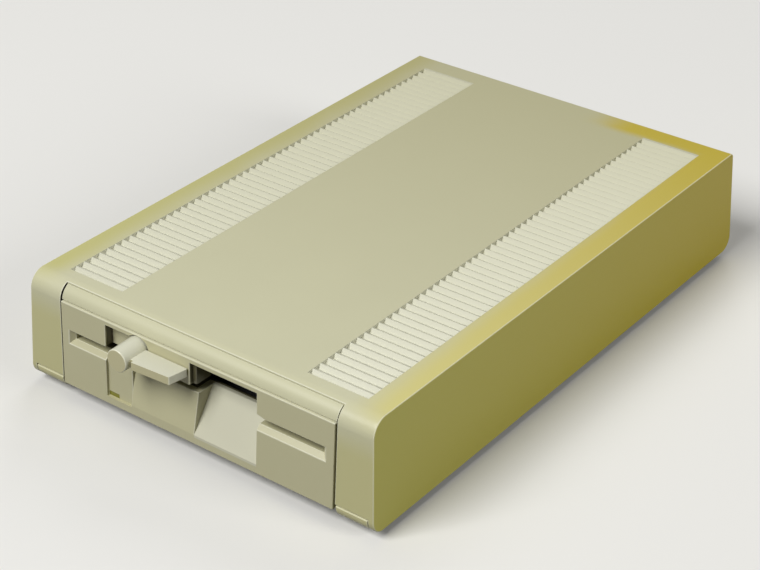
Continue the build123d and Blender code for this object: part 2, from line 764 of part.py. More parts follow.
def make_drive_frame():
    """Cast frame: two side walls, a deck and the wall that carries the stepper."""
    wall = frame_wall
    low = drive_bottom
    side = box(drive_half - wall, drive_half, bezel_back, drive_back, low, frame_wall_top)
    deck = box(-drive_half + 1, drive_half - 1, bezel_back, deck_back, deck_low, deck_top)
    front = box(-drive_half + 1, drive_half - 1, bezel_back, bezel_back + 3, low, deck_top)
    rear = box(-drive_half + 1, drive_half - 1, deck_back, deck_back + wall,
               deck_low - 12, deck_top + 10)
    frame = deck + both_sides(side) + front + rear
    boss_low = deck_top - spindle_boss_height
    frame = frame + rod((0, spindle_y, boss_low), (0, spindle_y, deck_top), spindle_boss_radius)
    for x, y in mount_screw_places():
        inward = -1 if x > 0 else 1
        boss = box(-5, 5, -5, 5, low, low + 9)
        frame = frame + Pos(x + inward * 1.9, y, 0) * boss
    for x in (-rail_x, rail_x):
        frame = frame + box(x - 4, x + 4, spindle_y + 21, spindle_y + 24.5,
                            rail_z - 4, deck_low)
    for side in (-1, 1):
        post = box(clamp_half + 0.5, clamp_half + 4, clamp_pivot_y - 4, clamp_pivot_y + 4,
                   deck_top, clamp_pivot_z + 3.5)
        frame = frame + (post if side > 0 else mirror(post, about=Plane.YZ))
    slot_front = spindle_y + 26.5
    cuts = [
        rod((0, spindle_y, boss_low - 1), (0, spindle_y, deck_top + 1), bearing_radius + 0.02),
        box(-11.5, 11.5, slot_front, deck_back - 0.5, deck_low - 1, deck_top + 1),
        box(screw_x - 5.5, screw_x + 5.5, slot_front, deck_back - 0.5, deck_low - 1,
            deck_top + 1),
        rod((screw_x, deck_back - 4, screw_z), (screw_x, deck_back + 6, screw_z),
            lead_screw_radius + 1.0),
        rod((-40, clamp_pivot_y, clamp_pivot_z), (40, clamp_pivot_y, clamp_pivot_z),
            clamp_pin_radius),
    ]
    for x in (-rail_x, rail_x):
        cuts.append(rod((x, spindle_y + 15, rail_z), (x, drive_back, rail_z), rail_radius))
    for x, y in mount_screw_places():
        cuts.append(rod((x, y, low - 1), (x, y, low + 8), screw_radius))
    return frame - cuts


def make_upper_bridge():
    """Steel bridge over the disk slot that carries the lever's shaft."""
    low = throat_high + 0.7
    front = bezel_back
    high = frame_wall_top + 2.5
    back = spindle_y - 24
    bar = box(-drive_half + frame_wall, drive_half - frame_wall, front, front + 3, low, high)
    side = box(drive_half - frame_wall - 3, drive_half - frame_wall, front, back,
               low, frame_wall_top)
    lug = box(-drive_half + frame_wall, lever_x + 4.5, back - 3, back, low + 3, high)
    bridge = bar + both_sides(side) + lug
    return bridge - rod((lever_x, front - 4, lever_z), (lever_x, back + 4, lever_z),
                        lever_shaft_radius + running_gap)


def make_disk_guides():
    """Two rails that a disk slides on, each with its side fence."""
    fence_in = disk_size / 2 + 0.5
    outer = drive_half - frame_wall
    back = spindle_y + guide_length
    ledge = box(fence_in - 9.2, outer, bezel_back + 3, back, deck_top, disk_low - 0.3)
    fence = box(fence_in, outer, bezel_back + 3, back, deck_top, throat_high)
    return both_sides(ledge + fence)


def make_spindle_hub():
    """Hub with its conical seat and shaft."""
    top = disk_low - 0.3
    hub = rod((0, spindle_y, deck_top + 0.8), (0, spindle_y, top), 18)
    seat = rod((0, spindle_y, clamp_nose_low - 1.2), (0, spindle_y, top + 0.5),
               clamp_nose_radius, clamp_nose_radius + 0.8)
    shaft = rod((0, spindle_y, rotor_low - 0.6), (0, spindle_y, deck_top + 1.5),
                spindle_radius)
    return hub - seat + shaft


def make_spindle_rotor():
    """Flat magnet rotor on the spindle's lower end."""
    top = rotor_low + rotor_height
    rotor = rod((0, spindle_y, rotor_low), (0, spindle_y, top), rotor_radius)
    rotor = rotor - rod((0, spindle_y, rotor_low - 1), (0, spindle_y, rotor_low + 1.4),
                        rotor_radius - 2)
    rotor = rotor + rod((0, spindle_y, rotor_low), (0, spindle_y, top), bearing_radius)
    return rotor - rod((0, spindle_y, rotor_low - 1), (0, spindle_y, top + 1), spindle_radius)


def make_bearings():
    """Two ball races in the frame's spindle boss."""
    rings = []
    for index in (2, 1):
        low = deck_top - index * bearing_step
        ring = rod((0, spindle_y, low), (0, spindle_y, low + bearing_height), bearing_radius)
        rings.append(ring - rod((0, spindle_y, low - 1), (0, spindle_y, deck_top + 1),
                                spindle_radius + running_gap))
    return rings


def make_motor_board():
    """Board of the spindle motor, hung from the deck on four spacers."""
    y0 = spindle_y - motor_board_half
    y1 = spindle_y + 25
    board = box(-motor_board_half, motor_board_half, y0, y1, motor_board_low, motor_board_top)
    for x in (4 - motor_board_half, motor_board_half - 4):
        for y in (y0 + 4, y1 - 6):
            board = board + rod((x, y, motor_board_top), (x, y, deck_low), 2.5)
    return board


def make_stator_coils():
    """Ring of flat coils under the rotor."""
    coils = []
    top = motor_board_top + coil_height
    for index in range(coil_count):
        angle = 2 * math.pi * index / coil_count
        x = coil_ring_radius * math.cos(angle)
        y = spindle_y + coil_ring_radius * math.sin(angle)
        coil = rod((x, y, motor_board_top), (x, y, top), coil_radius)
        coils.append(coil - rod((x, y, motor_board_top - 1), (x, y, top + 1), 1.6))
    return coils


# ---------------------------------------------------------------- heads

def make_carriage():
    """Carriage with lower head tower, pivot post and lead-screw follower."""
    low = deck_low - carriage_drop
    tower_top = deck_top + 3
    body = box(-26, 26, head_y - 9, head_y + 24, low, deck_low - 0.6)
    tail = box(-9, 9, head_y + 20, head_y + head_pivot_reach + 4, low, deck_low - 0.6)
    tower = box(-9, 9, head_y - 7, head_y + 7, deck_low - 1, tower_top)
    post_front = head_y + head_pivot_reach - 3.5
    post = box(-9, 9, post_front, post_front + 7, deck_low - 1, head_pivot_z + 3)
    ear_low = screw_z - 4.4
    ear = box(24, screw_x + 5, head_y + 10, head_y + 18, ear_low, deck_low - 0.6)
    ear = ear + box(screw_x - 5, screw_x + 5, head_y + 10, head_y + 18, ear_low, deck_top - 0.6)
    carriage = body + tail + tower + post + ear
    notch = box(-6.2, 6.2, post_front - 1, post_front + 8, head_pivot_z - 3.2, head_pivot_z + 4)
    cuts = [notch]
    for x in (-rail_x, rail_x):
        cuts.append(rod((x, spindle_y, rail_z), (x, drive_back, rail_z),
                        rail_radius + running_gap))
    cuts.append(rod((screw_x, spindle_y, screw_z), (screw_x, drive_back, screw_z),
                    lead_screw_radius + running_gap))
    pivot_y = head_y + head_pivot_reach
    cuts.append(rod((-10, pivot_y, head_pivot_z), (10, pivot_y, head_pivot_z), head_pin_radius))
    return carriage - cuts


def make_lower_head():
    """Read and write head under the disk."""
    return rod((0, head_y, deck_top + 3), (0, head_y, disk_low - 0.3), head_radius)


def open_head(solid):
    """Raise a closed head-arm part about its pivot."""
    pivot = Axis((0, head_y + head_pivot_reach, head_pivot_z), (1, 0, 0))
    return solid.rotate(pivot, -head_lift)


def make_upper_arm():
    """Arm that swings the upper head onto the disk."""
    pivot_y = head_y + head_pivot_reach
    arm = box(-5.6, 5.6, head_y - 6, pivot_y, head_pivot_z, head_pivot_z + 1.6)
    eye = rod((-5.6, pivot_y, head_pivot_z), (5.6, pivot_y, head_pivot_z), 2.6)
    arm = arm + eye
    return arm - rod((-9, pivot_y, head_pivot_z), (9, pivot_y, head_pivot_z),
                     head_pin_radius + running_gap)


def make_upper_head():
    """Upper head, under the arm's front end."""
    return rod((0, head_y, head_low), (0, head_y, head_pivot_z), head_radius)


def make_head_pin():
    """Pin of the upper head arm, held in the carriage's post."""
    pivot_y = head_y + head_pivot_reach
    return rod((-9, pivot_y, head_pivot_z), (9, pivot_y, head_pivot_z), head_pin_radius)


def make_guide_rods():
    """Two ground rods on which the carriage slides."""
    return [rod((x, spindle_y + 21, rail_z), (x, deck_back + frame_wall, rail_z), rail_radius)
            for x in (-rail_x, rail_x)]


def make_stepper():
    """Stepper motor behind the frame's rear wall."""
    y0 = deck_back + frame_wall
    motor = rod((screw_x, y0, screw_z), (screw_x, y0 + stepper_length, screw_z), stepper_radius)
    motor = motor + box(screw_x - 17, screw_x + 17, y0, y0 + 1.2, screw_z - 5.9, screw_z + 5.9)
    return motor - rod((screw_x, y0 - 1, screw_z), (screw_x, y0 + 12, screw_z),
                       lead_screw_radius + running_gap)


def make_lead_screw():
    """Lead screw, turned by the stepper; its groove is drawn as rings."""
    y0 = spindle_y + 28
    y1 = deck_back + frame_wall + 10
    screw = rod((screw_x, y0, screw_z), (screw_x, y1, screw_z), lead_screw_radius)
    groove_count = int((deck_back - y0 - 4) / lead)
    for index in range(groove_count):
        y = y0 + 3 + index * lead
        ring = rod((screw_x, y, screw_z), (screw_x, y + 0.8, screw_z), lead_screw_radius + 1)
        core = rod((screw_x, y, screw_z), (screw_x, y + 0.8, screw_z), lead_screw_radius - 0.4)
        screw = screw - (ring - core)
    return screw


# ---------------------------------------------------------------- drive electronics

def chip(x, y, low, length, width, height):
    """Dual-in-line package standing on a board, with its legs."""
    body = box(x - length / 2, x + length / 2, y - width / 2, y + width / 2,
               low + chip_stand, low + chip_stand + height)
    legs = []
    for side in (-1, 1):
        edge = y + side * (width / 2 - 0.6)
        legs.append(box(x - length / 2 + 1, x + length / 2 - 1, edge - 0.4, edge + 0.4,
                        low, low + chip_stand))
    return body + legs


def make_logic_board():
    """Drive's logic board, on top of the side walls, with its edge tongue."""
    board = box(-drive_half, drive_half, drive_back - 102, drive_back - 4, logic_low,
                logic_top)
    return board + box(-22, 22, drive_back - 5, drive_back + 5, logic_low, logic_top)


def make_logic_chips():
    """Packages on the drive's logic board."""
    low = logic_top
    back_row = drive_back - 30
    front_row = back_row - 2 * logic_row - 8
    made = [chip(x, front_row, low, length, logic_chip_width, logic_chip_height)
            for x, length in ((-38, 36), (14, 52))]
    for column in range(4):
        for y in (back_row - logic_row, back_row):
            made.append(chip(-48 + 26 * column, y, low, small_chip_length, small_chip_width,
                             logic_chip_height))
    return made


def make_power_socket():
    """Four-way power socket under the logic board."""
    return box(-56, -35, drive_back - 16, drive_back - 2, logic_low - 10, logic_low)


def make_power_plug():
    """Plug of the drive's power lead."""
    return box(-55.5, -35.5, drive_back - 2, drive_back + 11, logic_low - 9.5, logic_low - 0.5)


def make_power_lead():
    """Four wires from the drive's power plug down to the controller board."""
    wires = []
    for index in range(4):
        x = -45.5 + 5.08 * (index - 1.5)
        z = logic_low - 5
        points = [(x, drive_back + 11, z), (x, drive_back + 24, z), (x, drive_back + 24, board_top)]
        path = FilletPolyline(*points, radius=6)
        section = Plane(origin=path @ 0, z_dir=path % 0) * Circle(0.9)
        wires.append(sweep(section, path=path))
    return wires


def make_ribbon_plug():
    """Edge plug of the ribbon cable."""
    plug = box(-25, 25, drive_back, drive_back + 12, logic_low - 3, logic_top + 3)
    return plug - box(-22.3, 22.3, drive_back - 1, drive_back + 6, logic_low - 0.1,
                      logic_top + 0.1)


def make_ribbon_cable():
    """Flat cable from the drive's edge plug to the controller board's header."""
    z = logic_low + board_thickness / 2
    low = board_top + header_plug_height
    y0 = drive_back + 12
    y1 = drive_back + 34
    half = 0.5
    radius = 8
    flat = box(-21.6, 21.6, y0, y1 - radius, z - half, z + half)
    drop = box(-21.6, 21.6, y1 - half, y1 + half, low, z - radius)
    bend = rod((-21.6, y1 - radius, z - radius), (21.6, y1 - radius, z - radius), radius + half)
    bend = bend - rod((-30, y1 - radius, z - radius), (30, y1 - radius, z - radius),
                      radius - half)
    bend = bend & box(-30, 30, y1 - radius, y1 + 2, z - radius, z + 2)
    return flat + bend + drop


def make_header():
    """Ribbon header on the controller board."""
    y = drive_back + 34
    header = box(-26, 26, y - 4.5, y + 4.5, board_top, board_top + 8.5)
    return header - box(-24.4, 24.4, y - 3, y + 3, board_top + 2, board_top + 9)


def make_header_plug():
    """Ribbon plug, seated in the header."""
    y = drive_back + 34
    high = board_top + header_plug_height
    plug = box(-24.2, 24.2, y - 2.8, y + 2.8, board_top + 2, high)
    return plug + box(-25.5, 25.5, y - 4, y + 4, board_top + 9, high)


def make_sensors():
    """Small sensors on the drive's deck, by name."""
    y = spindle_y - 12
    index_sensor = box(40, 46, y - 5, y + 5, deck_top, disk_low - 1.5)
    x = 21 - drive_half
    y = spindle_y - 30
    protect = box(x - 4, x + 4, y - 5, y + 5, deck_top, disk_low - 1.5)
    protect = protect + rod((x, y, deck_top + 2), (x, y, disk_low - 0.6), 1.5)
    y = head_y + head_pivot_reach - 17.15
    zero = box(-40, -30, y - 5, y + 5, deck_low - 7, deck_low)
    zero = zero - box(-36, -29, y - 7, y + 7, deck_low - 5, deck_low - 2)
    return {"index_sensor": index_sensor, "write_protect_switch": protect,
            "track_zero_sensor": zero}


# ---------------------------------------------------------------- controller board

def make_controller_board():
    """Controller board on the tray's posts."""
    board = box(-board_half, board_half, board_front, board_back, board_low, board_top)
    for x, y in board_screw_places():
        board = board - rod((x, y, board_low - 1), (x, y, board_top + 1), screw_radius + 0.2)
    return board


def make_controller_chips():
    """Processor, program memory, disk controller and logic packages."""
    one = board_front + chip_row_one
    two = board_front + chip_row_two
    three = board_front + chip_row_three
    processor_x = board_half - processor_edge
    memory_x = memory_edge - board_half
    made = [chip(x, y, board_top, length, chip_width, chip_height)
            for x, y, length in ((processor_x, two, 52), (memory_x, two, 36), (50, one, 36))]
    for x in (memory_x - 2, memory_x + 24):
        made.append(chip(x, three, board_top, small_chip_length, small_chip_width, chip_height))
    return made


def make_capacitors():
    """Round electrolytic capacitors."""
    left = capacitor_edge - board_half
    right = board_half - 16
    sizes = ((left, 26, 6.5, 26), (left + 14, 52, 4.0, 12), (left + 8, 40, 4.0, 12),
             (right, 50, 3.0, 9))
    made = []
    for x, inset, radius, height in sizes:
        y = board_front + inset
        can = rod((x, y, board_top), (x, y, board_top + height), radius)
        made.append(fillet(can.edges().sort_by(Axis.Z)[-1], 0.6))
    return made


def make_heat_sink():
    """Finned heat sink for the two regulators."""
    x = sink_edge - board_half
    y0 = board_front + sink_start
    top = board_top + sink_height
    sink = box(x, x + sink_plate, y0, y0 + sink_length, board_top, top)
    pitch = (sink_length - 2 - fin_thickness) / (fin_count - 1)
    for index in range(fin_count):
        y = y0 + 1 + index * pitch
        sink = sink + box(x - fin_reach, x + 1, y, y + fin_thickness, board_top, top)
    return sink


def make_regulators():
    """Two power regulators screwed flat to the heat sink."""
    made = []
    x = sink_edge - board_half + sink_plate
    middle = board_front + sink_start + sink_length / 2
    for y in (middle - 12, middle + 10):
        body = box(x, x + 4.5, y - 5, y + 5, board_top + 4, board_top + 13)
        tab = box(x, x + 1.3, y - 5, y + 5, board_top + 13, board_top + 19)
        legs = [box(x + 2, x + 2.8, y + dy - 0.4, y + dy + 0.4, board_top, board_top + 4)
                for dy in (-2.54, 0, 2.54)]
        made.append(body + tab + legs)
    return made


def make_crystal():
    """Crystal can beside the processor."""
    y = board_front + chip_row_two - 5
    can = box(board_half - 8.5, board_half - 1.5, y - 2, y + 2, board_top, board_top + 12)
    return fillet(can.edges().filter_by(Axis.Z), 1.8)


# ---------------------------------------------------------------- rear connectors

def socket_centre_z():
    """Height of the serial sockets' middle."""
    return board_top + socket_height / 2


def make_serial_socket(x):
    """Socket shell with its cavity open to the back."""
    x0, x1, length, height = rear_bodies()[socket_x.index(x)]
    z = socket_centre_z()
    shell = box(x0, x1, connector_back - length, connector_back, board_top, board_top + height)
    half = socket_cavity_width / 2
    tall = socket_cavity_height / 2
    mouth = [(x - half, z - tall), (x + half, z - tall), (x + half, z), (x + half - 2.2, z + tall),
             (x - half + 2.2, z + tall), (x - half, z)]
    return shell - profile_y(mouth, connector_back - socket_depth, connector_back + 1)


def make_serial_pins():
    """Thirteen pins for each serial socket, in rows of seven and six."""
    pins = []
    floor = connector_back - socket_depth
    tip = connector_back - socket_pin_recess
    for x in socket_x:
        for count, dz in ((7, -2.0), (6, 2.0)):
            for index in range(count):
                px = x + (index - (count - 1) / 2) * socket_pin_pitch
                z = socket_centre_z() + dz
                pins.append(rod((px, floor, z), (px, tip, z), socket_pin_radius))
    return pins


def make_power_jack():
    """Round power jack."""
    x0, x1, length, height = rear_bodies()[2]
    body = box(x0, x1, connector_back - length, connector_back, board_top, board_top + height)
    z = board_top + height / 2
    return body - rod((jack_x, connector_back - 10, z), (jack_x, connector_back + 1, z),
                      jack_bore_radius)


def make_jack_pin():
    """Centre pin of the power jack."""
    z = board_top + rear_bodies()[2][3] / 2
    return rod((jack_x, connector_back - 10, z), (jack_x, connector_back - 1.5, z), 1.05)


def make_switch_body():
    """Housing of the power switch."""
    x0, x1, length, height = rear_bodies()[3]
    body = box(x0, x1, connector_back - length, connector_back, board_top, board_top + height)
    z = board_top + height / 2
    body = body - box(x0 + 1.2, x1 - 1.2, connector_back - 12, connector_back + 1,
                      z - 5.1, z + 5.1)
    return body - rod((rocker_x, connector_back - 5, z - 6.35), (rocker_x, connector_back - 5,
                      z + 6.35), 1.2 + running_gap)


def make_rocker():
    """Rocker of the power switch, tilted to its off position."""
    z = board_top + rear_bodies()[3][3] / 2
    y = connector_back - 5
    plan = [(-8.2, 1.0), (-8.2, 4.2), (0, 2.6), (8.2, 4.2), (8.2, 1.0), (3, -2.5), (-3, -2.5)]
    points = [(rocker_x + dx, y + dy) for dx, dy in plan]
    rocker = profile_z(points, z - 4.8, z + 4.8)
    rocker = rocker + rod((rocker_x, y, z - 6.25), (rocker_x, y, z + 6.25), 1.2)
    return rocker.rotate(Axis((rocker_x, y, z), (0, 0, 1)), -rocker_angle / 2)


def select_places():
    """Centres of the two drive-select slides across the housing."""
    return (select_x - 3.2, select_x + 3.2)


def make_select_body():
    """Housing of the drive-select switch."""
    x0, x1, length, height = rear_bodies()[4]
    body = box(x0, x1, connector_back - length, connector_back, board_top, board_top + height)
    for x in select_places():
        body = body - box(x - 1.3, x + 1.3, connector_back - 5, connector_back + 1,
                          board_top + 1.2, board_top + 1.4 + 2.4 + select_travel + 0.2)
    return body


def make_select_slide(x):
    """One slide of the drive-select switch, at its lower stop."""
    low = board_top + 1.4
    return box(x - 1.15, x + 1.15, connector_back - 4.9, connector_back + 1.4, low, low + 2.4)


# ---------------------------------------------------------------- all nodes

def build_nodes():
    """Every node's shape by name, in drawing coordinates."""
    outer = case_outer()
    left, right = select_places()
    nodes = {
        "top_cover": make_top_cover(outer),
        "front_trim_bar": make_front_trim_bar(outer),
        "base_tray": make_base_tray(outer),
        "rubber_feet": make_feet(),
        "case_screws": screws(case_screw_places(), screw_sink, case_screw_length),
        "machine_screws": make_machine_screws(),
        "bezel": make_bezel(),
        "lamp_window": make_lamp_window(),
        "activity_lamp": make_lamp(),
        "lever": make_lever(),
        "lever_shaft": make_lever_shaft(),
        "lever_crank": make_crank(),
        "clamp_arm": open_clamp(make_clamp_arm()),
        "clamp_hub": open_clamp(make_clamp_hub()),
        "clamp_hub_cap": open_clamp(make_hub_cap()),
        "clamp_pivot_pins": make_clamp_pins(),
        "drive_frame": make_drive_frame(),
        "upper_bridge": make_upper_bridge(),
        "disk_guides": make_disk_guides(),
        "spindle_hub": make_spindle_hub(),
        "spindle_rotor": make_spindle_rotor(),
        "spindle_bearings": make_bearings(),
        "motor_board": make_motor_board(),
        "stator_coils": make_stator_coils(),
        "head_carriage": make_carriage(),
        "lower_head": make_lower_head(),
        "upper_head_arm": open_head(make_upper_arm()),
        "upper_head": open_head(make_upper_head()),
        "head_arm_pin": make_head_pin(),
        "guide_rods": make_guide_rods(),
        "stepper_motor": make_stepper(),
        "lead_screw": make_lead_screw(),
        "logic_board": make_logic_board(),
        "logic_chips": make_logic_chips(),
        "drive_power_socket": make_power_socket(),
        "drive_power_plug": make_power_plug(),
        "drive_power_lead": make_power_lead(),
        "ribbon_edge_plug": make_ribbon_plug(),
        "ribbon_cable": make_ribbon_cable(),
        "ribbon_header": make_header(),
        "ribbon_header_plug": make_header_plug(),
        "controller_board": make_controller_board(),
        "controller_chips": make_controller_chips(),
        "capacitors": make_capacitors(),
        "heat_sink": make_heat_sink(),
        "regulators": make_regulators(),
        "crystal": make_crystal(),
        "serial_sockets": [make_serial_socket(x) for x in socket_x],
        "serial_pins": make_serial_pins(),
        "power_jack": make_power_jack(),
        "power_jack_pin": make_jack_pin(),
        "power_switch_body": make_switch_body(),
        "power_rocker": make_rocker(),
        "select_switch_body": make_select_body(),
        "select_slide_one": make_select_slide(left),
        "select_slide_two": make_select_slide(right),
    }
    nodes.update(make_sensors())
    return nodes


# The row's origin is under the middle of the whole part's box, at the feet's soles.
overall_front = -knob_reach
overall_back = back_at(back_bottom_radius)
row_shift = Vector(0, -(overall_front + overall_back) / 2, foot_height)


def as_solids(shape):
    """Flat list of the solids in a shape or a list of shapes."""
    if isinstance(shape, (list, tuple)):
        return [solid for part in shape for solid in as_solids(part)]
    return list(shape.solids())


os.makedirs("parts", exist_ok=True)
for name, shape in build_nodes().items():
    placed = [solid.moved(Location(row_shift)) for solid in as_solids(shape)]
    whole = placed[0] if len(placed) == 1 else Compound(children=placed)
    whole.label = name
    export_step(whole, "parts/" + name + ".step")
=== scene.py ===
"""Looks of an external floppy disk drive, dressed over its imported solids.

Sizes are in millimetres unless it is said otherwise; the frame itself is in metres. Its x
runs to the right seen from the front, its y to the back, and its z up from the feet.
"""

import logging
import math
from dataclasses import dataclass, field, replace
from enum import Enum

import bpy
from mathutils import Matrix, Vector

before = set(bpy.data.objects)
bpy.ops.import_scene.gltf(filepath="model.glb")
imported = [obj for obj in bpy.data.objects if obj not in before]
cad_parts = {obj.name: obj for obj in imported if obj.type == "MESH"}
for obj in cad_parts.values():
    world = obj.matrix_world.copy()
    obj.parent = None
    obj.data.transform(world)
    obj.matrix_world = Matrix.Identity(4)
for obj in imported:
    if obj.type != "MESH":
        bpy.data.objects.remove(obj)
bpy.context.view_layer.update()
MM = 0.001
log = logging.getLogger("floppy_drive")

Tree = bpy.types.NodeTree
Socket = bpy.types.NodeSocket
Inputs = dict[str | int, object]
Fields = dict[str, Socket]
Colour = tuple[float, float, float, float]
Span = tuple[float, float]

# Sockets of a colour mix, which share their names with the mix's other sockets.
MIX_SHARE, MIX_UNDER, MIX_OVER = 0, 6, 7
MIX_RESULT = 2
# A wave texture of scale 1 repeats after this length.
WAVE_LENGTH = math.tau / 20
# The edge attribute that says which edges are rounded, and the slot of their plastic,
# which has a pale painted highlight.
SOFTENED = "softened"
EDGE_HIGHLIGHT_SLOT = 1


def linear(code: str) -> Colour:
    """Turns an sRGB hex colour into linear light.

    Args:
        code: Six hex digits, with or without a leading hash.

    Returns:
        Red, green and blue in linear light, with full opacity.
    """
    code = code.lstrip("#")
    values = [int(code[i:i + 2], 16) / 255 for i in (0, 2, 4)]
    # The sRGB curve is straight near black and a power above it.
    light = [v / 12.92 if v <= 0.04045 else ((v + 0.055) / 1.055) ** 2.4 for v in values]
    return light[0], light[1], light[2], 1.0


def add_node(tree: Tree, kind: str, inputs: Inputs | None = None,
             **settings: object) -> bpy.types.Node:
    """Adds a node with its settings, values and links.

    Args:
        tree: The node tree that gets the node.
        kind: The node's type, such as "ShaderNodeMath".
        inputs: Input name or number to a value, or to the output that feeds it.
        **settings: Attributes of the node itself.

    Returns:
        The new node.
    """
    node = tree.nodes.new(kind)
    for name, value in settings.items():
        setattr(node, name, value)
    for key, value in (inputs or {}).items():
        if isinstance(value, Socket):
            tree.links.new(value, node.inputs[key])
        else:
            node.inputs[key].default_value = value
    return node


class Surface(Enum):
    """How a surface was made, which sets the pattern drawn on it."""

    MOULDED = "moulded"
    CAST = "cast"
    BRUSHED = "brushed"
    POLISHED = "polished"
    PLATED = "plated"
    WOUND = "wound"
    MASKED = "solder mask"
    RIBBED = "ribbed"


@dataclass(frozen=True)
class Pattern:
    """A texture that draws a surface: a fine uneven grain, unless its fields say otherwise.

    The length is what the texture repeats after at scale 1, and the stretch squeezes the
    coordinates along an axis, so that the pattern is drawn out along it.
    """

    texture: str = "ShaderNodeTexNoise"
    output: str = "Fac"
    length: float = 1.0
    stretch: tuple[float, float, float] = (1.0, 1.0, 1.0)
    inputs: dict[str, float] = field(
        default_factory=lambda: {"Detail": 3.0, "Roughness": 0.6})
    settings: dict[str, str] = field(default_factory=dict)


PATTERNS: dict[Surface, Pattern] = {
    Surface.MOULDED: Pattern(),
    Surface.CAST: Pattern(),
    # Scratches 25 times as long as they are wide.
    Surface.BRUSHED: Pattern(stretch=(1.0, 0.04, 1.0)),
    Surface.POLISHED: Pattern(),
    # Crystals of zinc or nickel.
    Surface.PLATED: Pattern("ShaderNodeTexVoronoi", "Distance", inputs={}),
    # Turns of wire, laid a little unevenly.
    Surface.WOUND: Pattern("ShaderNodeTexWave", length=WAVE_LENGTH,
                           inputs={"Distortion": 0.4}, settings={"wave_type": "RINGS"}),
    # Tracks an eighth of their spacing wide.
    Surface.MASKED: Pattern("ShaderNodeTexBrick", inputs={"Mortar Size": 0.12}),
    # Conductors side by side.
    Surface.RIBBED: Pattern("ShaderNodeTexWave", length=WAVE_LENGTH,
                            inputs={"Distortion": 0.0},
                            settings={"wave_type": "BANDS", "bands_direction": "X"}),
}


@dataclass(frozen=True)
class Fade:
    """A share that goes from 0 to 1 while a named field goes from one value to another."""

    along: str
    empty: float
    full: float
    smooth: bool = True


def between(soft: float, **limits: Span) -> tuple[Fade, ...]:
    """Lists the fades of a region that lies between two ends along some fields.

    Args:
        soft: How far outside its ends the region fades away.
        **limits: The two ends along each field.

    Returns:
        Two fades for each field.
    """
    fades = []
    for along, (low, high) in limits.items():
        fades += [Fade(along, low - soft, low), Fade(along, high + soft, high)]
    return tuple(fades)


@dataclass(frozen=True)
class Patch:
    """A region of a surface, where all its fades are full, and how much it is covered."""

    fades: tuple[Fade, ...] = ()
    share: float = 1.0

    def cover(self, tree: Tree, fields: Fields) -> Socket | float:
        """Draws the patch.

        Args:
            tree: The material's node tree.
            fields: The named fields that the fades follow.

        Returns:
            The share that is covered, from 0 outside the patch.
        """
        covered = self.share
        for fade in self.fades:
            grown = add_node(tree, "ShaderNodeMapRange", {
                "Value": fields[fade.along], "From Min": fade.empty, "From Max": fade.full},
                interpolation_type="SMOOTHSTEP" if fade.smooth else "LINEAR")
            covered = add_node(tree, "ShaderNodeMath", {
                0: covered, 1: grown.outputs[0]}, operation="MULTIPLY").outputs[0]
        return covered


@dataclass(frozen=True)
class Layer:
    """A tone laid over the tones before it, in one patch or more.

    Where it has a tone for the back too, it turns to that along the field that runs from the
    front to the back.
    """

    tone: str
    patches: tuple[Patch, ...]
    back_tone: str = ""

    def lay(self, tree: Tree, fields: Fields, under: Socket) -> Socket:
        """Lays the tone.

        Args:
            tree: The material's node tree.
            fields: The named fields that the patches follow.
            under: The colour so far.

        Returns:
            The colour with this tone laid over it.
        """
        covered, *others = [patch.cover(tree, fields) for patch in self.patches]
        for other in others:
            covered = add_node(tree, "ShaderNodeMath", {0: covered, 1: other},
                               operation="MAXIMUM").outputs[0]
        over = linear(self.tone)
        if self.back_tone:
            over = add_node(tree, "ShaderNodeMix", {
                MIX_SHARE: fields["ageing"], MIX_UNDER: over,
                MIX_OVER: linear(self.back_tone)}, data_type="RGBA").outputs[MIX_RESULT]
        return add_node(tree, "ShaderNodeMix", {
            MIX_SHARE: covered, MIX_UNDER: under, MIX_OVER: over},
            data_type="RGBA").outputs[MIX_RESULT]


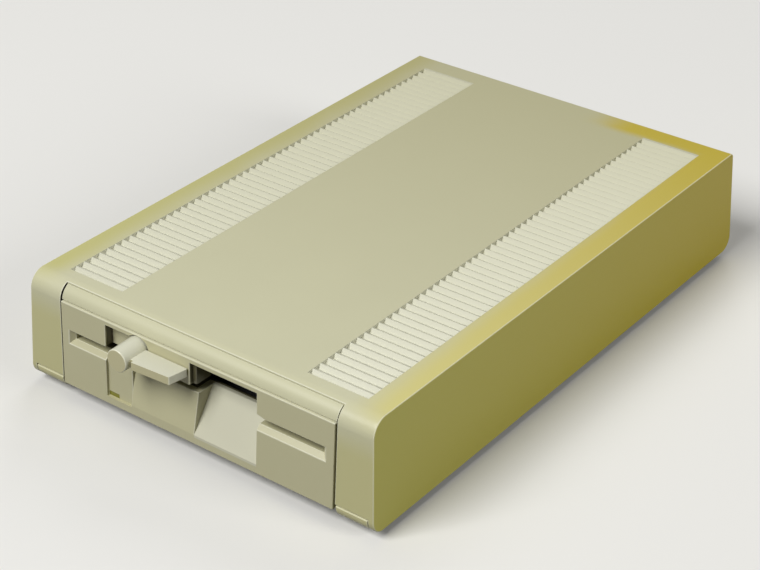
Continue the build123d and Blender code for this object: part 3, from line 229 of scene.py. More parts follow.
@dataclass(frozen=True)
class Finish:
    """One real material and the way its surface was made.

    The grain and the relief are the spacing and the height of its pattern. The mottle is
    the share by which its tone wanders from patch to patch.
    """

    name: str
    colour: str
    roughness: float
    surface: Surface = Surface.MOULDED
    grain: float = 0.5
    relief: float = 0.01
    metallic: float = 0.0
    ior: float = 1.5
    mottle: float = 0.03
    # Blotches of tone about 36 mm across.
    blotches_per_metre: float = 28.0
    coat: float = 0.0
    coat_roughness: float = 0.2
    # The rounded edges' plastic: smoother, with a pale painted highlight laid over it.
    painted_highlight: bool = False
    edge_roughness: float = 0.25
    highlight_tone: str = "ecebd6"
    highlight_share: float = 0.55

    def material(self) -> bpy.types.Material:
        """Makes the finish's material at its first use.

        Returns:
            The material.
        """
        found = bpy.data.materials.get(self.name)
        if found:
            return found
        made = bpy.data.materials.new(self.name)
        made.use_nodes = True
        tree = made.node_tree
        tree.nodes.clear()
        place = add_node(tree, "ShaderNodeTexCoord").outputs["Object"]
        height, blotch = self.pattern(tree, place)
        inputs = {"Base Color": self.base_colour(tree, place, blotch),
                  "Roughness": self.roughness, "Metallic": self.metallic,
                  "Coat Weight": self.coat, "Coat Roughness": self.coat_roughness}
        if self.metallic == 0:
            inputs["IOR"] = self.ior
        if self.relief > 0:
            inputs["Normal"] = add_node(tree, "ShaderNodeBump", {
                "Strength": 1.0, "Distance": self.relief * MM, "Height": height}).outputs[0]
        shader = add_node(tree, "ShaderNodeBsdfPrincipled", inputs)
        add_node(tree, "ShaderNodeOutputMaterial", {"Surface": shader.outputs["BSDF"]})
        made.diffuse_color = linear(self.colour)
        return made

    def highlit_edge(self) -> "Finish":
        """Returns the same plastic for rounded edges: smoother, with a pale painted
        highlight.
        """
        return replace(self, name=self.name + "_highlit_edge", painted_highlight=True,
                       roughness=self.edge_roughness)

    def pattern(self, tree: Tree, place: Socket) -> tuple[Socket, Socket]:
        """Draws the surface's relief and its slight change of tone.

        Args:
            tree: The material's node tree.
            place: Object coordinates in metres.

        Returns:
            The height of the relief, and a slow field from 0 to 1.
        """
        drawn = PATTERNS[self.surface]
        stretched = add_node(tree, "ShaderNodeMapping", {
            "Vector": place, "Scale": drawn.stretch}).outputs["Vector"]
        texture = add_node(tree, drawn.texture, {
            "Vector": stretched, "Scale": drawn.length / (self.grain * MM),
            **drawn.inputs}, **drawn.settings)
        slow = add_node(tree, "ShaderNodeTexNoise", {
            "Vector": place, "Scale": self.blotches_per_metre, "Detail": 2.0,
            "Roughness": 0.5})
        return texture.outputs[drawn.output], slow.outputs["Fac"]

    def base_colour(self, tree: Tree, place: Socket, blotch: Socket) -> Socket:
        """Colours the surface: the written colour with a slight mottle, then its layers.

        Args:
            tree: The material's node tree.
            place: Object coordinates in metres.
            blotch: A slow field from 0 to 1.

        Returns:
            The colour to shade with.
        """
        base = linear(self.colour)[:3]
        dark, pale = (tuple(min(1.0, c * part) for c in base) + (1.0,)
                      for part in (1 - self.mottle, 1 + self.mottle))
        colour = add_node(tree, "ShaderNodeMix", {
            MIX_SHARE: blotch, MIX_UNDER: dark, MIX_OVER: pale},
            data_type="RGBA").outputs[MIX_RESULT]
        fields = self.fields(tree, place, blotch)
        for layer in self.layers():
            colour = layer.lay(tree, fields, colour)
        return colour

    def fields(self, tree: Tree, place: Socket, blotch: Socket) -> Fields:
        """Returns the fields that the layers follow: none, where the finish is even."""
        return {}

    def layers(self) -> tuple[Layer, ...]:
        """Returns the tones laid over the written colour, first to last."""
        return self.painted_edge_highlight()

    def painted_edge_highlight(self) -> tuple[Layer, ...]:
        """Returns the painted highlight of a rounded edge, and none away from the edges."""
        pale = Layer(self.highlight_tone, (Patch(share=self.highlight_share),))
        return (pale,) if self.painted_highlight else ()


@dataclass(frozen=True)
class PlacedAbs(Finish):
    """Moulded ABS whose tone changes with the place on the piece and the way it faces."""

    def fields(self, tree: Tree, place: Socket, blotch: Socket) -> Fields:
        """Measures the surface.

        Args:
            tree: The material's node tree.
            place: Object coordinates in metres.
            blotch: Not used.

        Returns:
            x, y and z in millimetres, how far the surface faces right and back, from -1 to
            1, and three of these without their sign: across, flank and ahead.
        """
        scaled = add_node(tree, "ShaderNodeVectorMath", {0: place, "Scale": 1 / MM},
                          operation="SCALE").outputs[0]
        x, y, z = add_node(tree, "ShaderNodeSeparateXYZ", {0: scaled}).outputs
        normal = add_node(tree, "ShaderNodeTexCoord").outputs["Normal"]
        facing = add_node(tree, "ShaderNodeSeparateXYZ", {0: normal}).outputs
        measured = {"x": x, "y": y, "z": z, "right_facing": facing[0],
                    "back_facing": facing[1]}
        for name, signed in (("across", x), ("flank", facing[0]), ("ahead", facing[1])):
            measured[name] = add_node(tree, "ShaderNodeMath", {0: signed},
                                      operation="ABSOLUTE").outputs[0]
        return measured


@dataclass(frozen=True)
class LeverAbs(PlacedAbs):
    """The lever's ABS: painted shade and yellowing on its front, a painted highlight on its
    rim.
    """

    # The front's painted shade and yellowing, by how far it looks back: -1 looks straight
    # ahead.
    front: str = "beb890"
    forward: Span = (-0.45, -0.9)
    # The roundings into the front and the back, by how far they have turned, where a pale
    # highlight is painted.
    rim_begins: Span = (0.12, 0.35)
    rim_ends: Span = (0.98, 0.9)
    rim_highlight_share: float = 0.6

    def layers(self) -> tuple[Layer, ...]:
        """Lists the front's painted shade and yellowing, and the rim's painted highlight.

        Returns:
            The layers, first to last.
        """
        rim = Patch((Fade("ahead", *self.rim_begins, smooth=False),
                     Fade("ahead", *self.rim_ends, smooth=False)), self.rim_highlight_share)
        return (
            # The front: painted shade with some yellowing. The rim: a painted highlight.
            Layer(self.front, (Patch((Fade("back_facing", *self.forward, smooth=False),)),)),
            Layer(self.highlight_tone, (rim,)),
        )


@dataclass(frozen=True)
class BezelAbs(PlacedAbs):
    """The bezel's ABS: painted near-black shade in its hollows, painted light on the finger
    ramp.

    A zone is its two ends along x, y and z. The hole's wall is a ring around the knob,
    behind the bezel's face and below the ledge, and gets painted shade too. The top ledge
    gets a painted highlight.
    """

    # Painted shade: near-black in the hollows and the knob's hole, and a lighter painted
    # shade on the pocket's left wall.
    dark: str = "57533a"
    pocket_shade: str = "5e5845"
    # Painted light on the finger ramp, where it faces the lamps.
    ramp_light: str = "c6c4ad"
    soft: float = 0.3
    # A painted highlight along the top ledge.
    ledge: Span = (48.1, 48.4)
    ledge_highlight_share: float = 0.4
    # Where light is painted on the ramp, where shade is painted on the pocket's left wall,
    # and the hollows painted in near-black shade: the throat, the slot's inside and the gaps
    # beside the pillars.
    ramp_zone: tuple[float, ...] = (1.3, 34.5, -143.5, -127.0, 11.0, 31.5)
    pocket_wall: tuple[float, ...] = (-48.8, -47.9, -141.0, -130.0, 35.5, 47.5)
    hollows: tuple[tuple[float, ...], ...] = (
        (-2.0, 34.9, -141.3, -120.0, 31.9, 47.0),
        (-2.0, 34.9, -127.8, -120.0, 30.9, 36.0),
        (-70.0, -2.0, -136.0, -120.0, 30.9, 36.0),
        (34.9, 70.0, -136.0, -120.0, 30.9, 36.0),
        (-76.0, -73.8, -140.5, -120.0, 2.0, 48.0),
        (73.8, 76.0, -140.5, -120.0, 2.0, 48.0),
    )
    # The knob's hole, whose wall is painted in near-black shade.
    knob_centre: Span = (-30.0, 42.3)
    hole_outer: Span = (6.6, 6.5)
    hole_inner: Span = (5.3, 5.6)
    hole_behind: Span = (-141.7, -141.5)
    hole_below: Span = (48.1, 47.8)

    def fields(self, tree: Tree, place: Socket, blotch: Socket) -> Fields:
        """Measures the surface, and how far it is from the knob's axis.

        Args:
            tree: The material's node tree.
            place: Object coordinates in metres.
            blotch: Not used; it is only passed on.

        Returns:
            The named fields, with "from_knob" in millimetres.
        """
        measured = super().fields(tree, place, blotch)
        upright = add_node(tree, "ShaderNodeCombineXYZ", {
            "X": measured["x"], "Z": measured["z"]}).outputs[0]
        centre_x, centre_z = self.knob_centre
        measured["from_knob"] = add_node(tree, "ShaderNodeVectorMath", {
            0: upright, 1: (centre_x, 0.0, centre_z)}, operation="DISTANCE").outputs["Value"]
        return measured

    def layers(self) -> tuple[Layer, ...]:
        """Lists the painted highlights on the edges and the ledge, the painted light on the
        ramp, then the painted shade in the pocket, the recesses and the knob's hole.

        Returns:
            The layers, first to last.
        """
        hole = Patch((Fade("from_knob", *self.hole_outer),
                      Fade("from_knob", *self.hole_inner),
                      Fade("y", *self.hole_behind), Fade("z", *self.hole_below)))
        zones = [(self.ramp_light, self.ramp_zone), (self.pocket_shade, self.pocket_wall)]
        zones += [(self.dark, hollow) for hollow in self.hollows]
        return (
            # Painted highlights on the bevels and the ledge, painted light on the ramp, then
            # painted shade in the pocket, the hollows and the knob's hole.
            *self.painted_edge_highlight(),
            Layer(self.highlight_tone, (Patch((Fade("z", *self.ledge),), self.ledge_highlight_share),)),
            *(Layer(tone, (Patch(between(self.soft, x=ends[:2], y=ends[2:4], z=ends[4:])),))
              for tone, ends in zones),
            Layer(self.dark, (hole,)),
        )


@dataclass(frozen=True)
class CaseAbs(PlacedAbs):
    """The case's ABS, yellowed by sunlight: most on the right side and at the back right.

    Each pair of tones is for the front and for the back end of the case, and the tone turns
    from one to the other from front to back: it yellows, and it darkens as a painted falloff
    of light. The rounded edges get painted highlights, and the wall in the gap beside the
    bezel gets near-black painted shade. The other spans are where a tone fades in.
    """

    # Darker and a little yellower towards the back of the top: painted falloff of light,
    # with some yellowing.
    top_back_shade_and_yellowing: str = "afab85"
    left_tones: tuple[str, str] = ("bfbb7b", "a8a26a")
    right_tones: tuple[str, str] = ("cfc781", "b5a11d")
    side_tones: tuple[str, str] = ("cac35c", "c6b10c")
    vent_tones: tuple[str, str] = ("cac9b5", "bab89e")
    front: str = "c0bc8c"
    # Near-black painted shade for the wall in the gap beside the bezel.
    joint: str = "30270f"

    # Along the case: the span over which tones turn from front to back, yellowing and
    # darkening as a painted falloff of light; how far the borders between tones wander; and
    # how much farther in the right one lies at the back.
    ageing: Span = (-130.0, 150.0)
    behind_front: Span = (-144.0, -128.0)
    border: Span = (74.0, 91.0)
    wander: float = 9.0
    lean: float = 9.0
    # The pillars' rounded fronts, below the top.
    front_faces: Span = (-136.0, -141.0)
    front_below: Span = (50.0, 36.0)
    # The strip along the top's back edge.
    strip_behind: Span = (133.5, 141.0)
    strip_right: Span = (14.0, 42.0)
    # The right side and the back, by how far they have turned and where they stand.
    turned: Span = (0.35, 0.85)
    side_wall: Span = (90.0, 91.0)
    back_wall: Span = (148.0, 149.0)
    back_right: Span = (-85.0, 60.0)
    back_share: float = 0.6
    # The roundings into the top, by how far they have turned, where a pale highlight is
    # painted.
    edge_begins: Span = (0.1, 0.3)
    edge_ends: Span = (0.99, 0.93)
    edge_above: Span = (49.0, 50.0)
    edge_highlight_share: float = 0.5
    # The louvre strips, up to well above the top.
    vent_across: Span = (50.0, 80.3)
    vent_along: Span = (-128.55, 138.2)
    vent_above: Span = (50.6, 60.0)
    vent_soft: float = 0.1
    # The left pillar's wall in the narrow gap beside the bezel, painted in near-black shade.
    joint_across: Span = (-77.0, -72.0)
    joint_soft: float = 0.2
    joint_turned: Span = (0.9, 0.97)

    def fields(self, tree: Tree, place: Socket, blotch: Socket) -> Fields:
        """Measures the surface, also with places that wander a little.

        Args:
            tree: The material's node tree.
            place: Object coordinates in metres.
            blotch: A slow field from 0 to 1.

        Returns:
            The named fields. "rightward", "leftward" and "backward" wander, "leaning" is
            rightward with a border that leans, and the field from front to back goes from 0
            at the front to 1 at the back, for the yellowing and for the painted falloff of
            light.
        """
        measured = super().fields(tree, place, blotch)
        drift = add_node(tree, "ShaderNodeMath", {
            0: blotch, 1: self.wander, 2: -self.wander / 2},
            operation="MULTIPLY_ADD").outputs[0]
        for name, operation, first, second in (
                ("rightward", "ADD", drift, measured["x"]),
                ("leftward", "SUBTRACT", drift, measured["x"]),
                ("backward", "ADD", drift, measured["y"])):
            measured[name] = add_node(tree, "ShaderNodeMath", {0: first, 1: second},
                                      operation=operation).outputs[0]
        measured["ageing"] = add_node(tree, "ShaderNodeMapRange", {
            "Value": measured["y"], "From Min": self.ageing[0],
            "From Max": self.ageing[1]}).outputs[0]
        measured["leaning"] = add_node(tree, "ShaderNodeMath", {
            0: measured["ageing"], 1: self.lean, 2: measured["rightward"]},
            operation="MULTIPLY_ADD").outputs[0]
        return measured

    def layers(self) -> tuple[Layer, ...]:
        """Lists the tones from the least yellowed to the most, then the painted edge
        highlights, the vents and the painted shade in the gap beside the bezel.

        Returns:
            The layers, first to last.
        """
        behind_front = Fade("y", *self.behind_front)
        left = Patch((Fade("leftward", *self.border), behind_front))
        front = Patch((Fade("y", *self.front_faces), Fade("z", *self.front_below)))
        right = Patch((Fade("leaning", *self.border), behind_front))
        strip = Patch((Fade("backward", *self.strip_behind),
                       Fade("rightward", *self.strip_right),
                       Fade("back_facing", *reversed(self.turned)), behind_front))
        side = Patch((Fade("right_facing", *self.turned), Fade("x", *self.side_wall)))
        back = Patch((Fade("back_facing", *self.turned), Fade("y", *self.back_wall),
                      Fade("rightward", *self.back_right)), self.back_share)
        side_edge, back_edge = (
            (Fade(facing, *self.edge_begins, smooth=False),
             Fade(facing, *self.edge_ends, smooth=False))
            for facing in ("flank", "back_facing"))
        vents = Patch(between(self.vent_soft, across=self.vent_across, y=self.vent_along,
                              z=self.vent_above))
        joint = Patch((*between(self.joint_soft, x=self.joint_across),
                       Fade("flank", *self.joint_turned, smooth=False)))
        return (
            # The top darkens towards the back: painted falloff of light, with some
            # yellowing.
            Layer(self.top_back_shade_and_yellowing, (Patch((Fade("ageing", 0.0, 1.0, smooth=False),)),)),
            Layer(self.left_tones[0], (left,), self.left_tones[1]),
            Layer(self.front, (front,)),
            Layer(self.right_tones[0], (right, strip), self.right_tones[1]),
            Layer(self.side_tones[0], (side, back), self.side_tones[1]),
            # Painted highlights on the bevels and on the rounded edges.
            *self.painted_edge_highlight(),
            Layer(self.highlight_tone, (
                Patch(side_edge, self.edge_highlight_share),
                Patch((*back_edge, Fade("z", *self.edge_above)), self.edge_highlight_share))),
            Layer(self.vent_tones[0], (vents,), self.vent_tones[1]),
            # Near-black painted shade on the wall in the gap beside the bezel.
            Layer(self.joint, (joint,)),
        )


# A grain is the real spacing where that can be seen. The grains of mouldings, castings and
# ground metal are finer than they are written here: they are drawn at 0.3 to 0.8 mm, because
# they wouldn't show otherwise.

# The case: ABS from a spark-eroded mould, with a fine even grain that softens its shine. A
# warm grey when new, and yellow where the sun reached it.
CASE_ABS = CaseAbs("aged_moulded_abs", "c7c5a5", 0.34, grain=0.6, relief=0.012, ior=1.38)
# The tray: the same ABS and grain, evenly and lightly yellowed.
TRAY_ABS = Finish("moulded_abs_tray", "c8c38f", 0.40, grain=0.6, relief=0.012)
# The drive's front: ABS from a smoother mould, so its shine is a little clearer.
BEZEL_ABS = BezelAbs("satin_abs_bezel", "bbb793", 0.30, grain=0.6, relief=0.010)
# The lever: the palest ABS, nearly polished by fingers.
LEVER_ABS = LeverAbs("satin_abs_lever", "d1d0bb", 0.28, grain=0.45, relief=0.005)
# The lamp's window: polycarbonate from a polished mould, olive, glossy and nearly opaque
# while the lamp is off.
OLIVE_WINDOW = Finish("tinted_polycarbonate", "7f7c23", 0.18, Surface.POLISHED, relief=0.0)
# The lamp: cast epoxy, smooth, red and wet to look at.
LAMP_EPOXY = Finish("red_epoxy", "8f1d14", 0.2, Surface.POLISHED, relief=0.0)
# Feet: moulded rubber, dull, with no clear highlight.
FOOT_RUBBER = Finish("moulded_rubber", "26262a", 0.8, grain=0.5, relief=0.02)
# The drive's frame: die-cast aluminium, whose sandy skin breaks up its highlights.
CAST_FRAME = Finish("die_cast_aluminium", "a8a9aa", 0.45, Surface.CAST, 0.8, 0.03, 1.0)
# Stamped parts and screws: plated with zinc, which leaves a faint spangle.
ZINC_SHEET = Finish("zinc_plated_sheet", "b3b2a6", 0.34, Surface.PLATED, 2.5, 0.002, 1.0)
# Shafts and rods: ground steel, bright, with hair lines that draw out its highlights.
GROUND_STEEL = Finish("ground_steel", "b9b9b8", 0.18, Surface.BRUSHED, 0.3, 0.002, 1.0)
# Connectors and the carriage: moulded with glass fibre, which leaves them black and dull.
BLACK_PLASTIC = Finish("glass_filled_plastic", "1f1f20", 0.5, grain=0.4, relief=0.008)
# The clamp's hub, the power plug and the slides: moulded natural nylon, white and waxy.
NYLON = Finish("moulded_nylon", "dedbcf", 0.38, grain=0.6, relief=0.004)
# The spindle's hub: turned brass, with the tool's fine lines under a warm shine.
TURNED_BRASS = Finish("turned_brass", "c9a35a", 0.25, Surface.BRUSHED, 0.3, 0.003, 1.0)
# Contacts: a flash of gold over nickel, smooth and bright.
GOLD_CONTACT = Finish("gold_plated_contact", "d9b465", 0.22, Surface.POLISHED, relief=0.0,
                      metallic=1.0)
# Motor coils: enamelled copper wire, wound in turns that each catch the light.
COPPER_COIL = Finish("enamelled_copper_wire", "a5562c", 0.3, Surface.WOUND, 0.4, 0.05, 1.0)
# Circuit boards: glass laminate under a glossy green mask, raised where tracks run under it.
LAMINATE = Finish("solder_masked_laminate", "24502d", 0.3, Surface.MASKED, 2.54, 0.03,
                  coat=0.3)
# Packages: moulded black epoxy, matt from the mould.
CHIP_EPOXY = Finish("moulded_epoxy", "202022", 0.55, grain=0.3, relief=0.006)
# The stepper's can: black enamel sprayed on steel, glossy with a slight orange peel.
BLACK_PAINT = Finish("black_enamel_on_steel", "1a1a1b", 0.35, grain=0.8, relief=0.004,
                     coat=0.2)
# The heads: lapped ceramic, smooth as glass.
HEAD_CERAMIC = Finish("polished_ceramic", "6f6c64", 0.12, Surface.POLISHED, relief=0.0)
# Ribbon and leads: soft grey PVC, with a rib for each conductor.
RIBBON_PVC = Finish("flexible_pvc", "8f9092", 0.42, Surface.RIBBED, 1.27, 0.12)
# Capacitor sleeves: PVC shrunk tight and smooth.
SLEEVE_PVC = Finish("shrunk_pvc_sleeve", "22335f", 0.3, relief=0.0)
# The crystal's can: drawn steel under bright nickel.
CAN_STEEL = Finish("nickel_plated_can", "c2c2be", 0.2, Surface.PLATED, 2.0, 0.001, 1.0)
# The heat sink: extruded aluminium with fine lines, anodised black and satin.
BLACK_ANODISED = Finish("black_anodised_aluminium", "2a2a2d", 0.4, Surface.BRUSHED, 0.4,
                        0.004, 1.0)


@dataclass(frozen=True)
class Softening:
    """Rounds the sharp outer edges of a moulding, but leaves those inside some boxes crisp.

    A box is its middle and its half size, with x counted from the centre to either side
    where the piece has the same detail left and right. Angles are in degrees.
    """

    name: str
    width: float = 0.3
    segments: int = 2
    join_within: float = 0.002
    flat_angle: float = 0.5
    sharp_angle: float = 40.0
    crease_angle: float = 25.0
    mirrored: bool = True
    crisp: tuple[tuple[tuple[float, ...], tuple[float, ...]], ...] = ()

    def apply(self, piece: bpy.types.Object) -> None:
        """Adds the modifiers that round the edges.

        Args:
            piece: The moulding's object, with the painted-highlight plastic in its second
                slot.
        """
        joined = piece.modifiers.new("join split corners", "WELD")
        joined.merge_threshold = self.join_within * MM
        flat = piece.modifiers.new("merge flat faces", "DECIMATE")
        flat.decimate_type = "DISSOLVE"
        flat.angle_limit = math.radians(self.flat_angle)
        chosen = piece.modifiers.new("choose sharp edges", "NODES")
        chosen.node_group = self.chooser()
        edge = piece.modifiers.new("softened edges", "BEVEL")
        edge.width = self.width * MM
        edge.segments = self.segments
        edge.limit_method = "WEIGHT"
        edge.edge_weight = SOFTENED
        edge.use_clamp_overlap = False
        # The rounded edges take the plastic with the painted highlight.
        edge.material = EDGE_HIGHLIGHT_SLOT
        edge.miter_outer = "MITER_ARC"
        edge.harden_normals = True

    def chooser(self) -> Tree:
        """Builds the node group that picks the edges to round.

        It also shades each face by its own shape: edges over the crease angle stay crisp.

        Returns:
            The group, which marks the sharp outer edges outside the crisp boxes.
        """
        tree = bpy.data.node_groups.new(self.name, "GeometryNodeTree")
        for side in ("INPUT", "OUTPUT"):
            tree.interface.new_socket("Geometry", in_out=side,
                                      socket_type="NodeSocketGeometry")
        bend = add_node(tree, "GeometryNodeInputMeshEdgeAngle").outputs
        chosen, creased = (
            add_node(tree, "ShaderNodeMath", {0: bend[angle], 1: math.radians(least)},
                     operation="GREATER_THAN").outputs[0]
            for angle, least in (("Signed Angle", self.sharp_angle),
                                 ("Unsigned Angle", self.crease_angle)))
        place = add_node(tree, "GeometryNodeInputPosition").outputs[0]
        if self.mirrored:
            x, y, z = add_node(tree, "ShaderNodeSeparateXYZ", {0: place}).outputs
            across = add_node(tree, "ShaderNodeMath", {0: x}, operation="ABSOLUTE")
            place = add_node(tree, "ShaderNodeCombineXYZ", {
                0: across.outputs[0], 1: y, 2: z}).outputs[0]
        for middle, half in self.crisp:
            chosen = add_node(tree, "ShaderNodeMath", {
                0: chosen, 1: self.outside(tree, place, Vector(middle), Vector(half))},
                operation="MULTIPLY").outputs[0]
        bare = add_node(tree, "GeometryNodeRemoveAttribute", {
            "Geometry": add_node(tree, "NodeGroupInput").outputs[0],
            "Name": "custom_normal"})
        shaded = add_node(tree, "GeometryNodeSetShadeSmooth", {
            "Geometry": bare.outputs[0], "Selection": creased, "Shade Smooth": False},
            domain="EDGE")
        marked = add_node(tree, "GeometryNodeStoreNamedAttribute", {
            "Geometry": shaded.outputs[0], "Name": SOFTENED, "Value": chosen},
            data_type="FLOAT", domain="EDGE")
        add_node(tree, "NodeGroupOutput", {0: marked.outputs[0]})
        return tree

    def outside(self, tree: Tree, place: Socket, middle: Vector, half: Vector) -> Socket:
        """Tells which edges lie outside a box.

        Args:
            tree: The node group.
            place: The edges' places in metres.
            middle: The box's middle.
            half: Its half size.

        Returns:
            1 outside the box, and 0 inside it.
        """
        beyond = place
        for operation, inputs in (("SUBTRACT", {1: middle * MM}), ("ABSOLUTE", {}),
                                  ("SUBTRACT", {1: half * MM})):
            beyond = add_node(tree, "ShaderNodeVectorMath", {0: beyond, **inputs},
                              operation=operation).outputs[0]
        farthest, *others = add_node(tree, "ShaderNodeSeparateXYZ", {0: beyond}).outputs
        for other in others:
            farthest = add_node(tree, "ShaderNodeMath", {0: farthest, 1: other},
                                operation="MAXIMUM").outputs[0]
        return add_node(tree, "ShaderNodeMath", {0: farthest, 1: 0.0},
                        operation="GREATER_THAN").outputs[0]


@dataclass
class Assembly:
    """Solids that belong together, each with its finish, and some with softened edges."""

    parts: dict[Finish, tuple[str, ...]]
    edges: dict[str, Softening] = field(default_factory=dict)

    def build(self) -> None:
        """Dresses each solid in turn."""
        for finish, nodes in self.parts.items():
            for node in nodes:
                self.dress(node, finish)

    def dress(self, node: str, finish: Finish) -> None:
        """Gives a carried-over solid its finish, and rounds its edges where that is listed.

        Args:
            node: The solid's name.
            finish: What it is made of.
        """
        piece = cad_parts[node]
        piece.data.materials.clear()
        piece.data.materials.append(finish.material())
        if node in self.edges:
            # The rounded edges get the same plastic with a painted highlight.
            piece.data.materials.append(finish.highlit_edge().material())
            self.edges[node].apply(piece)
        log.info("%s: %s", node, finish.name)


@dataclass
class Case(Assembly):
    """Top cover, front bar and base tray, with feet and screws.

    The cover's louvre strips stay crisp, and its split corners are up to 0.04 mm apart.
    """

    parts: dict[Finish, tuple[str, ...]] = field(default_factory=lambda: {
        CASE_ABS: ("top_cover", "front_trim_bar"),
        TRAY_ABS: ("base_tray",),
        FOOT_RUBBER: ("rubber_feet",),
        ZINC_SHEET: ("case_screws", "machine_screws"),
    })
    edges: dict[str, Softening] = field(default_factory=lambda: {
        "top_cover": Softening("cover_edges", join_within=0.04, crisp=(
            ((65.15, 4.85, 54.0), (15.2, 133.5, 4.0)),)),
        "front_trim_bar": Softening("bar_edges"),
        "base_tray": Softening("tray_edges"),
    })


@dataclass
class DriveFront(Assembly):
    """Bezel with the lamp's window, and the lever that clamps a disk.

    The bezel stays crisp around the window and where the knob's hole meets the ledge.
    """

    parts: dict[Finish, tuple[str, ...]] = field(default_factory=lambda: {
        BEZEL_ABS: ("bezel",),
        LEVER_ABS: ("lever",),
        OLIVE_WINDOW: ("lamp_window",),
        LAMP_EPOXY: ("activity_lamp",),
        GROUND_STEEL: ("lever_shaft",),
        BLACK_PLASTIC: ("lever_crank",),
    })
    edges: dict[str, Softening] = field(default_factory=lambda: {
        "bezel": Softening("bezel_edges", mirrored=False, crisp=(
            ((-42.0, -141.0, 12.6), (7.5, 8.0, 2.6)),
            ((-30.0, -141.0, 48.1), (4.0, 8.0, 0.6)))),
    })


@dataclass
class Mechanism(Assembly):
    """Everything that clamps, turns and reads a disk."""

    parts: dict[Finish, tuple[str, ...]] = field(default_factory=lambda: {
        CAST_FRAME: ("drive_frame",),
        ZINC_SHEET: ("upper_bridge", "clamp_arm", "upper_head_arm", "spindle_rotor"),
        NYLON: ("clamp_hub", "clamp_hub_cap", "drive_power_plug", "drive_power_socket"),
        GROUND_STEEL: ("clamp_pivot_pins", "head_arm_pin", "guide_rods", "lead_screw",
                       "spindle_bearings"),
        BLACK_PLASTIC: ("disk_guides", "head_carriage", "index_sensor",
                        "write_protect_switch", "track_zero_sensor", "ribbon_edge_plug"),
        TURNED_BRASS: ("spindle_hub",),
        COPPER_COIL: ("stator_coils",),
        LAMINATE: ("motor_board", "logic_board"),
        HEAD_CERAMIC: ("lower_head", "upper_head"),
        BLACK_PAINT: ("stepper_motor",),
        CHIP_EPOXY: ("logic_chips",),
        RIBBON_PVC: ("ribbon_cable", "drive_power_lead"),
    })


@dataclass
class Controller(Assembly):
    """Controller board and the connectors behind the case."""

    parts: dict[Finish, tuple[str, ...]] = field(default_factory=lambda: {
        LAMINATE: ("controller_board",),
        CHIP_EPOXY: ("controller_chips", "regulators"),
        SLEEVE_PVC: ("capacitors",),
        CAN_STEEL: ("crystal",),
        BLACK_ANODISED: ("heat_sink",),
        BLACK_PLASTIC: ("ribbon_header", "ribbon_header_plug", "serial_sockets",
                        "power_jack", "power_switch_body", "select_switch_body",
                        "power_rocker"),
        GOLD_CONTACT: ("serial_pins", "power_jack_pin"),
        NYLON: ("select_slide_one", "select_slide_two"),
    })


@dataclass(frozen=True)
class Lamp:
    """A square soft lamp, in metres: where it hangs, its size and the light it gives.

    A level of 1 lights a surface that faces it as a white world of strength 1 does.
    """

    name: str
    toward: tuple[float, float, float]
    distance: float
    size: float
    level: float
    mirrored: bool = True

    def power(self) -> float:
        """Returns the lamp's power in watts, for its level at its distance."""
        return self.level * math.pi ** 2 * self.distance ** 2


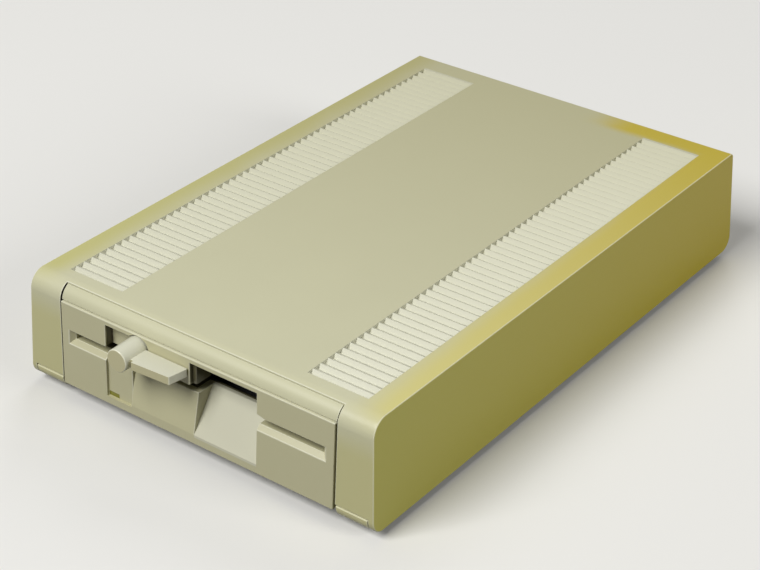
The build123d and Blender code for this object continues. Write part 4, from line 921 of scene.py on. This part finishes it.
@dataclass
class Studio:
    """Pale floor, soft light and the camera.

    The target, the distance and the sensor are in millimetres, the focal length and the
    centre in pixels of the image, and the clip distances and the floor in metres.
    """

    azimuth: float = 38.034
    elevation: float = 30.373
    roll: float = 0.272
    distance: float = 907.68
    target: tuple[float, float, float] = (-25.20, -34.924, 33.0)
    focal_pixels: float = 1989.91
    image_width: int = 760
    image_height: int = 570
    centre: Span = (304.0, 270.0)
    sensor_width: float = 36.0
    clip: Span = (0.05, 20.0)
    floor_size: float = 6.0
    floor_colour: str = "e9e8e4"
    floor_bounce: str = "4a4a48"
    sky_colour: str = "ffffff"
    sky_strength: float = 0.10
    backdrop_strength: float = 0.6
    lamps: tuple[Lamp, ...] = (
        Lamp("key_light", (-0.20, -0.66, 0.72), 6.0, 3.0, 0.96),
        Lamp("side_light", (0.90, 0.08, 0.43), 6.0, 2.45, 0.34),
        Lamp("rear_light", (-0.30, 0.75, 0.60), 6.0, 3.0, 0.20, mirrored=False),
    )

    def build(self) -> None:
        """Makes the floor, the lamps, the world and the camera."""
        self.build_floor()
        self.build_lamps()
        self.build_world()
        self.build_camera()

    def seen(self, tree: Tree) -> Socket:
        """Tells what is looked at from what only throws light on the object.

        Args:
            tree: The node tree of a material or of the world.

        Returns:
            1 for a ray from the camera, a mirror or a window, and 0 otherwise.
        """
        path = add_node(tree, "ShaderNodeLightPath").outputs
        seen = path["Is Camera Ray"]
        for ray in ("Is Glossy Ray", "Is Transmission Ray"):
            seen = add_node(tree, "ShaderNodeMath", {0: seen, 1: path[ray]},
                            operation="MAXIMUM").outputs[0]
        return seen

    def build_floor(self) -> None:
        """Lays a wide pale floor under the feet, which throws little light back up."""
        bpy.ops.mesh.primitive_plane_add(size=self.floor_size, location=(0, 0, 0))
        floor = bpy.context.object
        floor.name = "studio_floor"
        made = bpy.data.materials.new("matt_painted_floor")
        made.use_nodes = True
        tree = made.node_tree
        tree.nodes.clear()
        tone = add_node(tree, "ShaderNodeMix", {
            MIX_SHARE: self.seen(tree), MIX_UNDER: linear(self.floor_bounce),
            MIX_OVER: linear(self.floor_colour)}, data_type="RGBA").outputs[MIX_RESULT]
        surface = add_node(tree, "ShaderNodeBsdfDiffuse", {"Color": tone})
        add_node(tree, "ShaderNodeOutputMaterial", {"Surface": surface.outputs[0]})
        floor.data.materials.append(made)

    def build_lamps(self) -> None:
        """Hangs the soft lamps around the object, each facing it."""
        for lamp in self.lamps:
            data = bpy.data.lights.new(lamp.name, "AREA")
            data.shape = "SQUARE"
            data.size = lamp.size
            data.energy = lamp.power()
            hung = bpy.data.objects.new(lamp.name, data)
            toward = Vector(lamp.toward).normalized()
            hung.location = toward * lamp.distance
            hung.visible_glossy = lamp.mirrored
            hung.rotation_mode = "QUATERNION"
            hung.rotation_quaternion = (-toward).to_track_quat("-Z", "Y")
            bpy.context.scene.collection.objects.link(hung)

    def build_world(self) -> None:
        """Surrounds the object with plain soft light and a pale backdrop."""
        world = bpy.data.worlds.new("soft_room")
        bpy.context.scene.world = world
        world.use_nodes = True
        tree = world.node_tree
        tree.nodes.clear()
        strength = add_node(tree, "ShaderNodeMapRange", {
            "Value": self.seen(tree), "To Min": self.sky_strength,
            "To Max": self.backdrop_strength})
        light = add_node(tree, "ShaderNodeBackground", {
            "Color": linear(self.sky_colour), "Strength": strength.outputs[0]})
        add_node(tree, "ShaderNodeOutputWorld", {"Surface": light.outputs[0]})

    def build_camera(self) -> None:
        """Places the camera at its fitted distance, angle and lens."""
        azimuth, elevation = math.radians(self.azimuth), math.radians(self.elevation)
        back = Vector((math.sin(azimuth) * math.cos(elevation),
                       -math.cos(azimuth) * math.cos(elevation), math.sin(elevation)))
        data = bpy.data.cameras.new("camera")
        data.sensor_width = self.sensor_width
        data.lens = self.focal_pixels * self.sensor_width / self.image_width
        data.shift_x = (self.image_width / 2 - self.centre[0]) / self.image_width
        data.shift_y = (self.centre[1] - self.image_height / 2) / self.image_width
        data.clip_start, data.clip_end = self.clip
        camera = bpy.data.objects.new("camera", data)
        camera.location = (Vector(self.target) + back * self.distance) * MM
        turn = (-back).to_track_quat("-Z", "Y").to_matrix().to_4x4()
        turn = turn @ Matrix.Rotation(math.radians(self.roll), 4, "Z")
        camera.rotation_mode = "QUATERNION"
        camera.rotation_quaternion = turn.to_quaternion()
        bpy.context.scene.collection.objects.link(camera)
        bpy.context.scene.camera = camera
        bpy.context.scene.view_settings.view_transform = "Standard"


def main() -> None:
    """Builds the assemblies in order."""
    logging.basicConfig(level=logging.INFO, format="%(name)s: %(message)s")
    for assembly in (Case(), DriveFront(), Mechanism(), Controller(), Studio()):
        log.info("building %s", type(assembly).__name__)
        assembly.build()


if __name__ == "__main__":
    main()
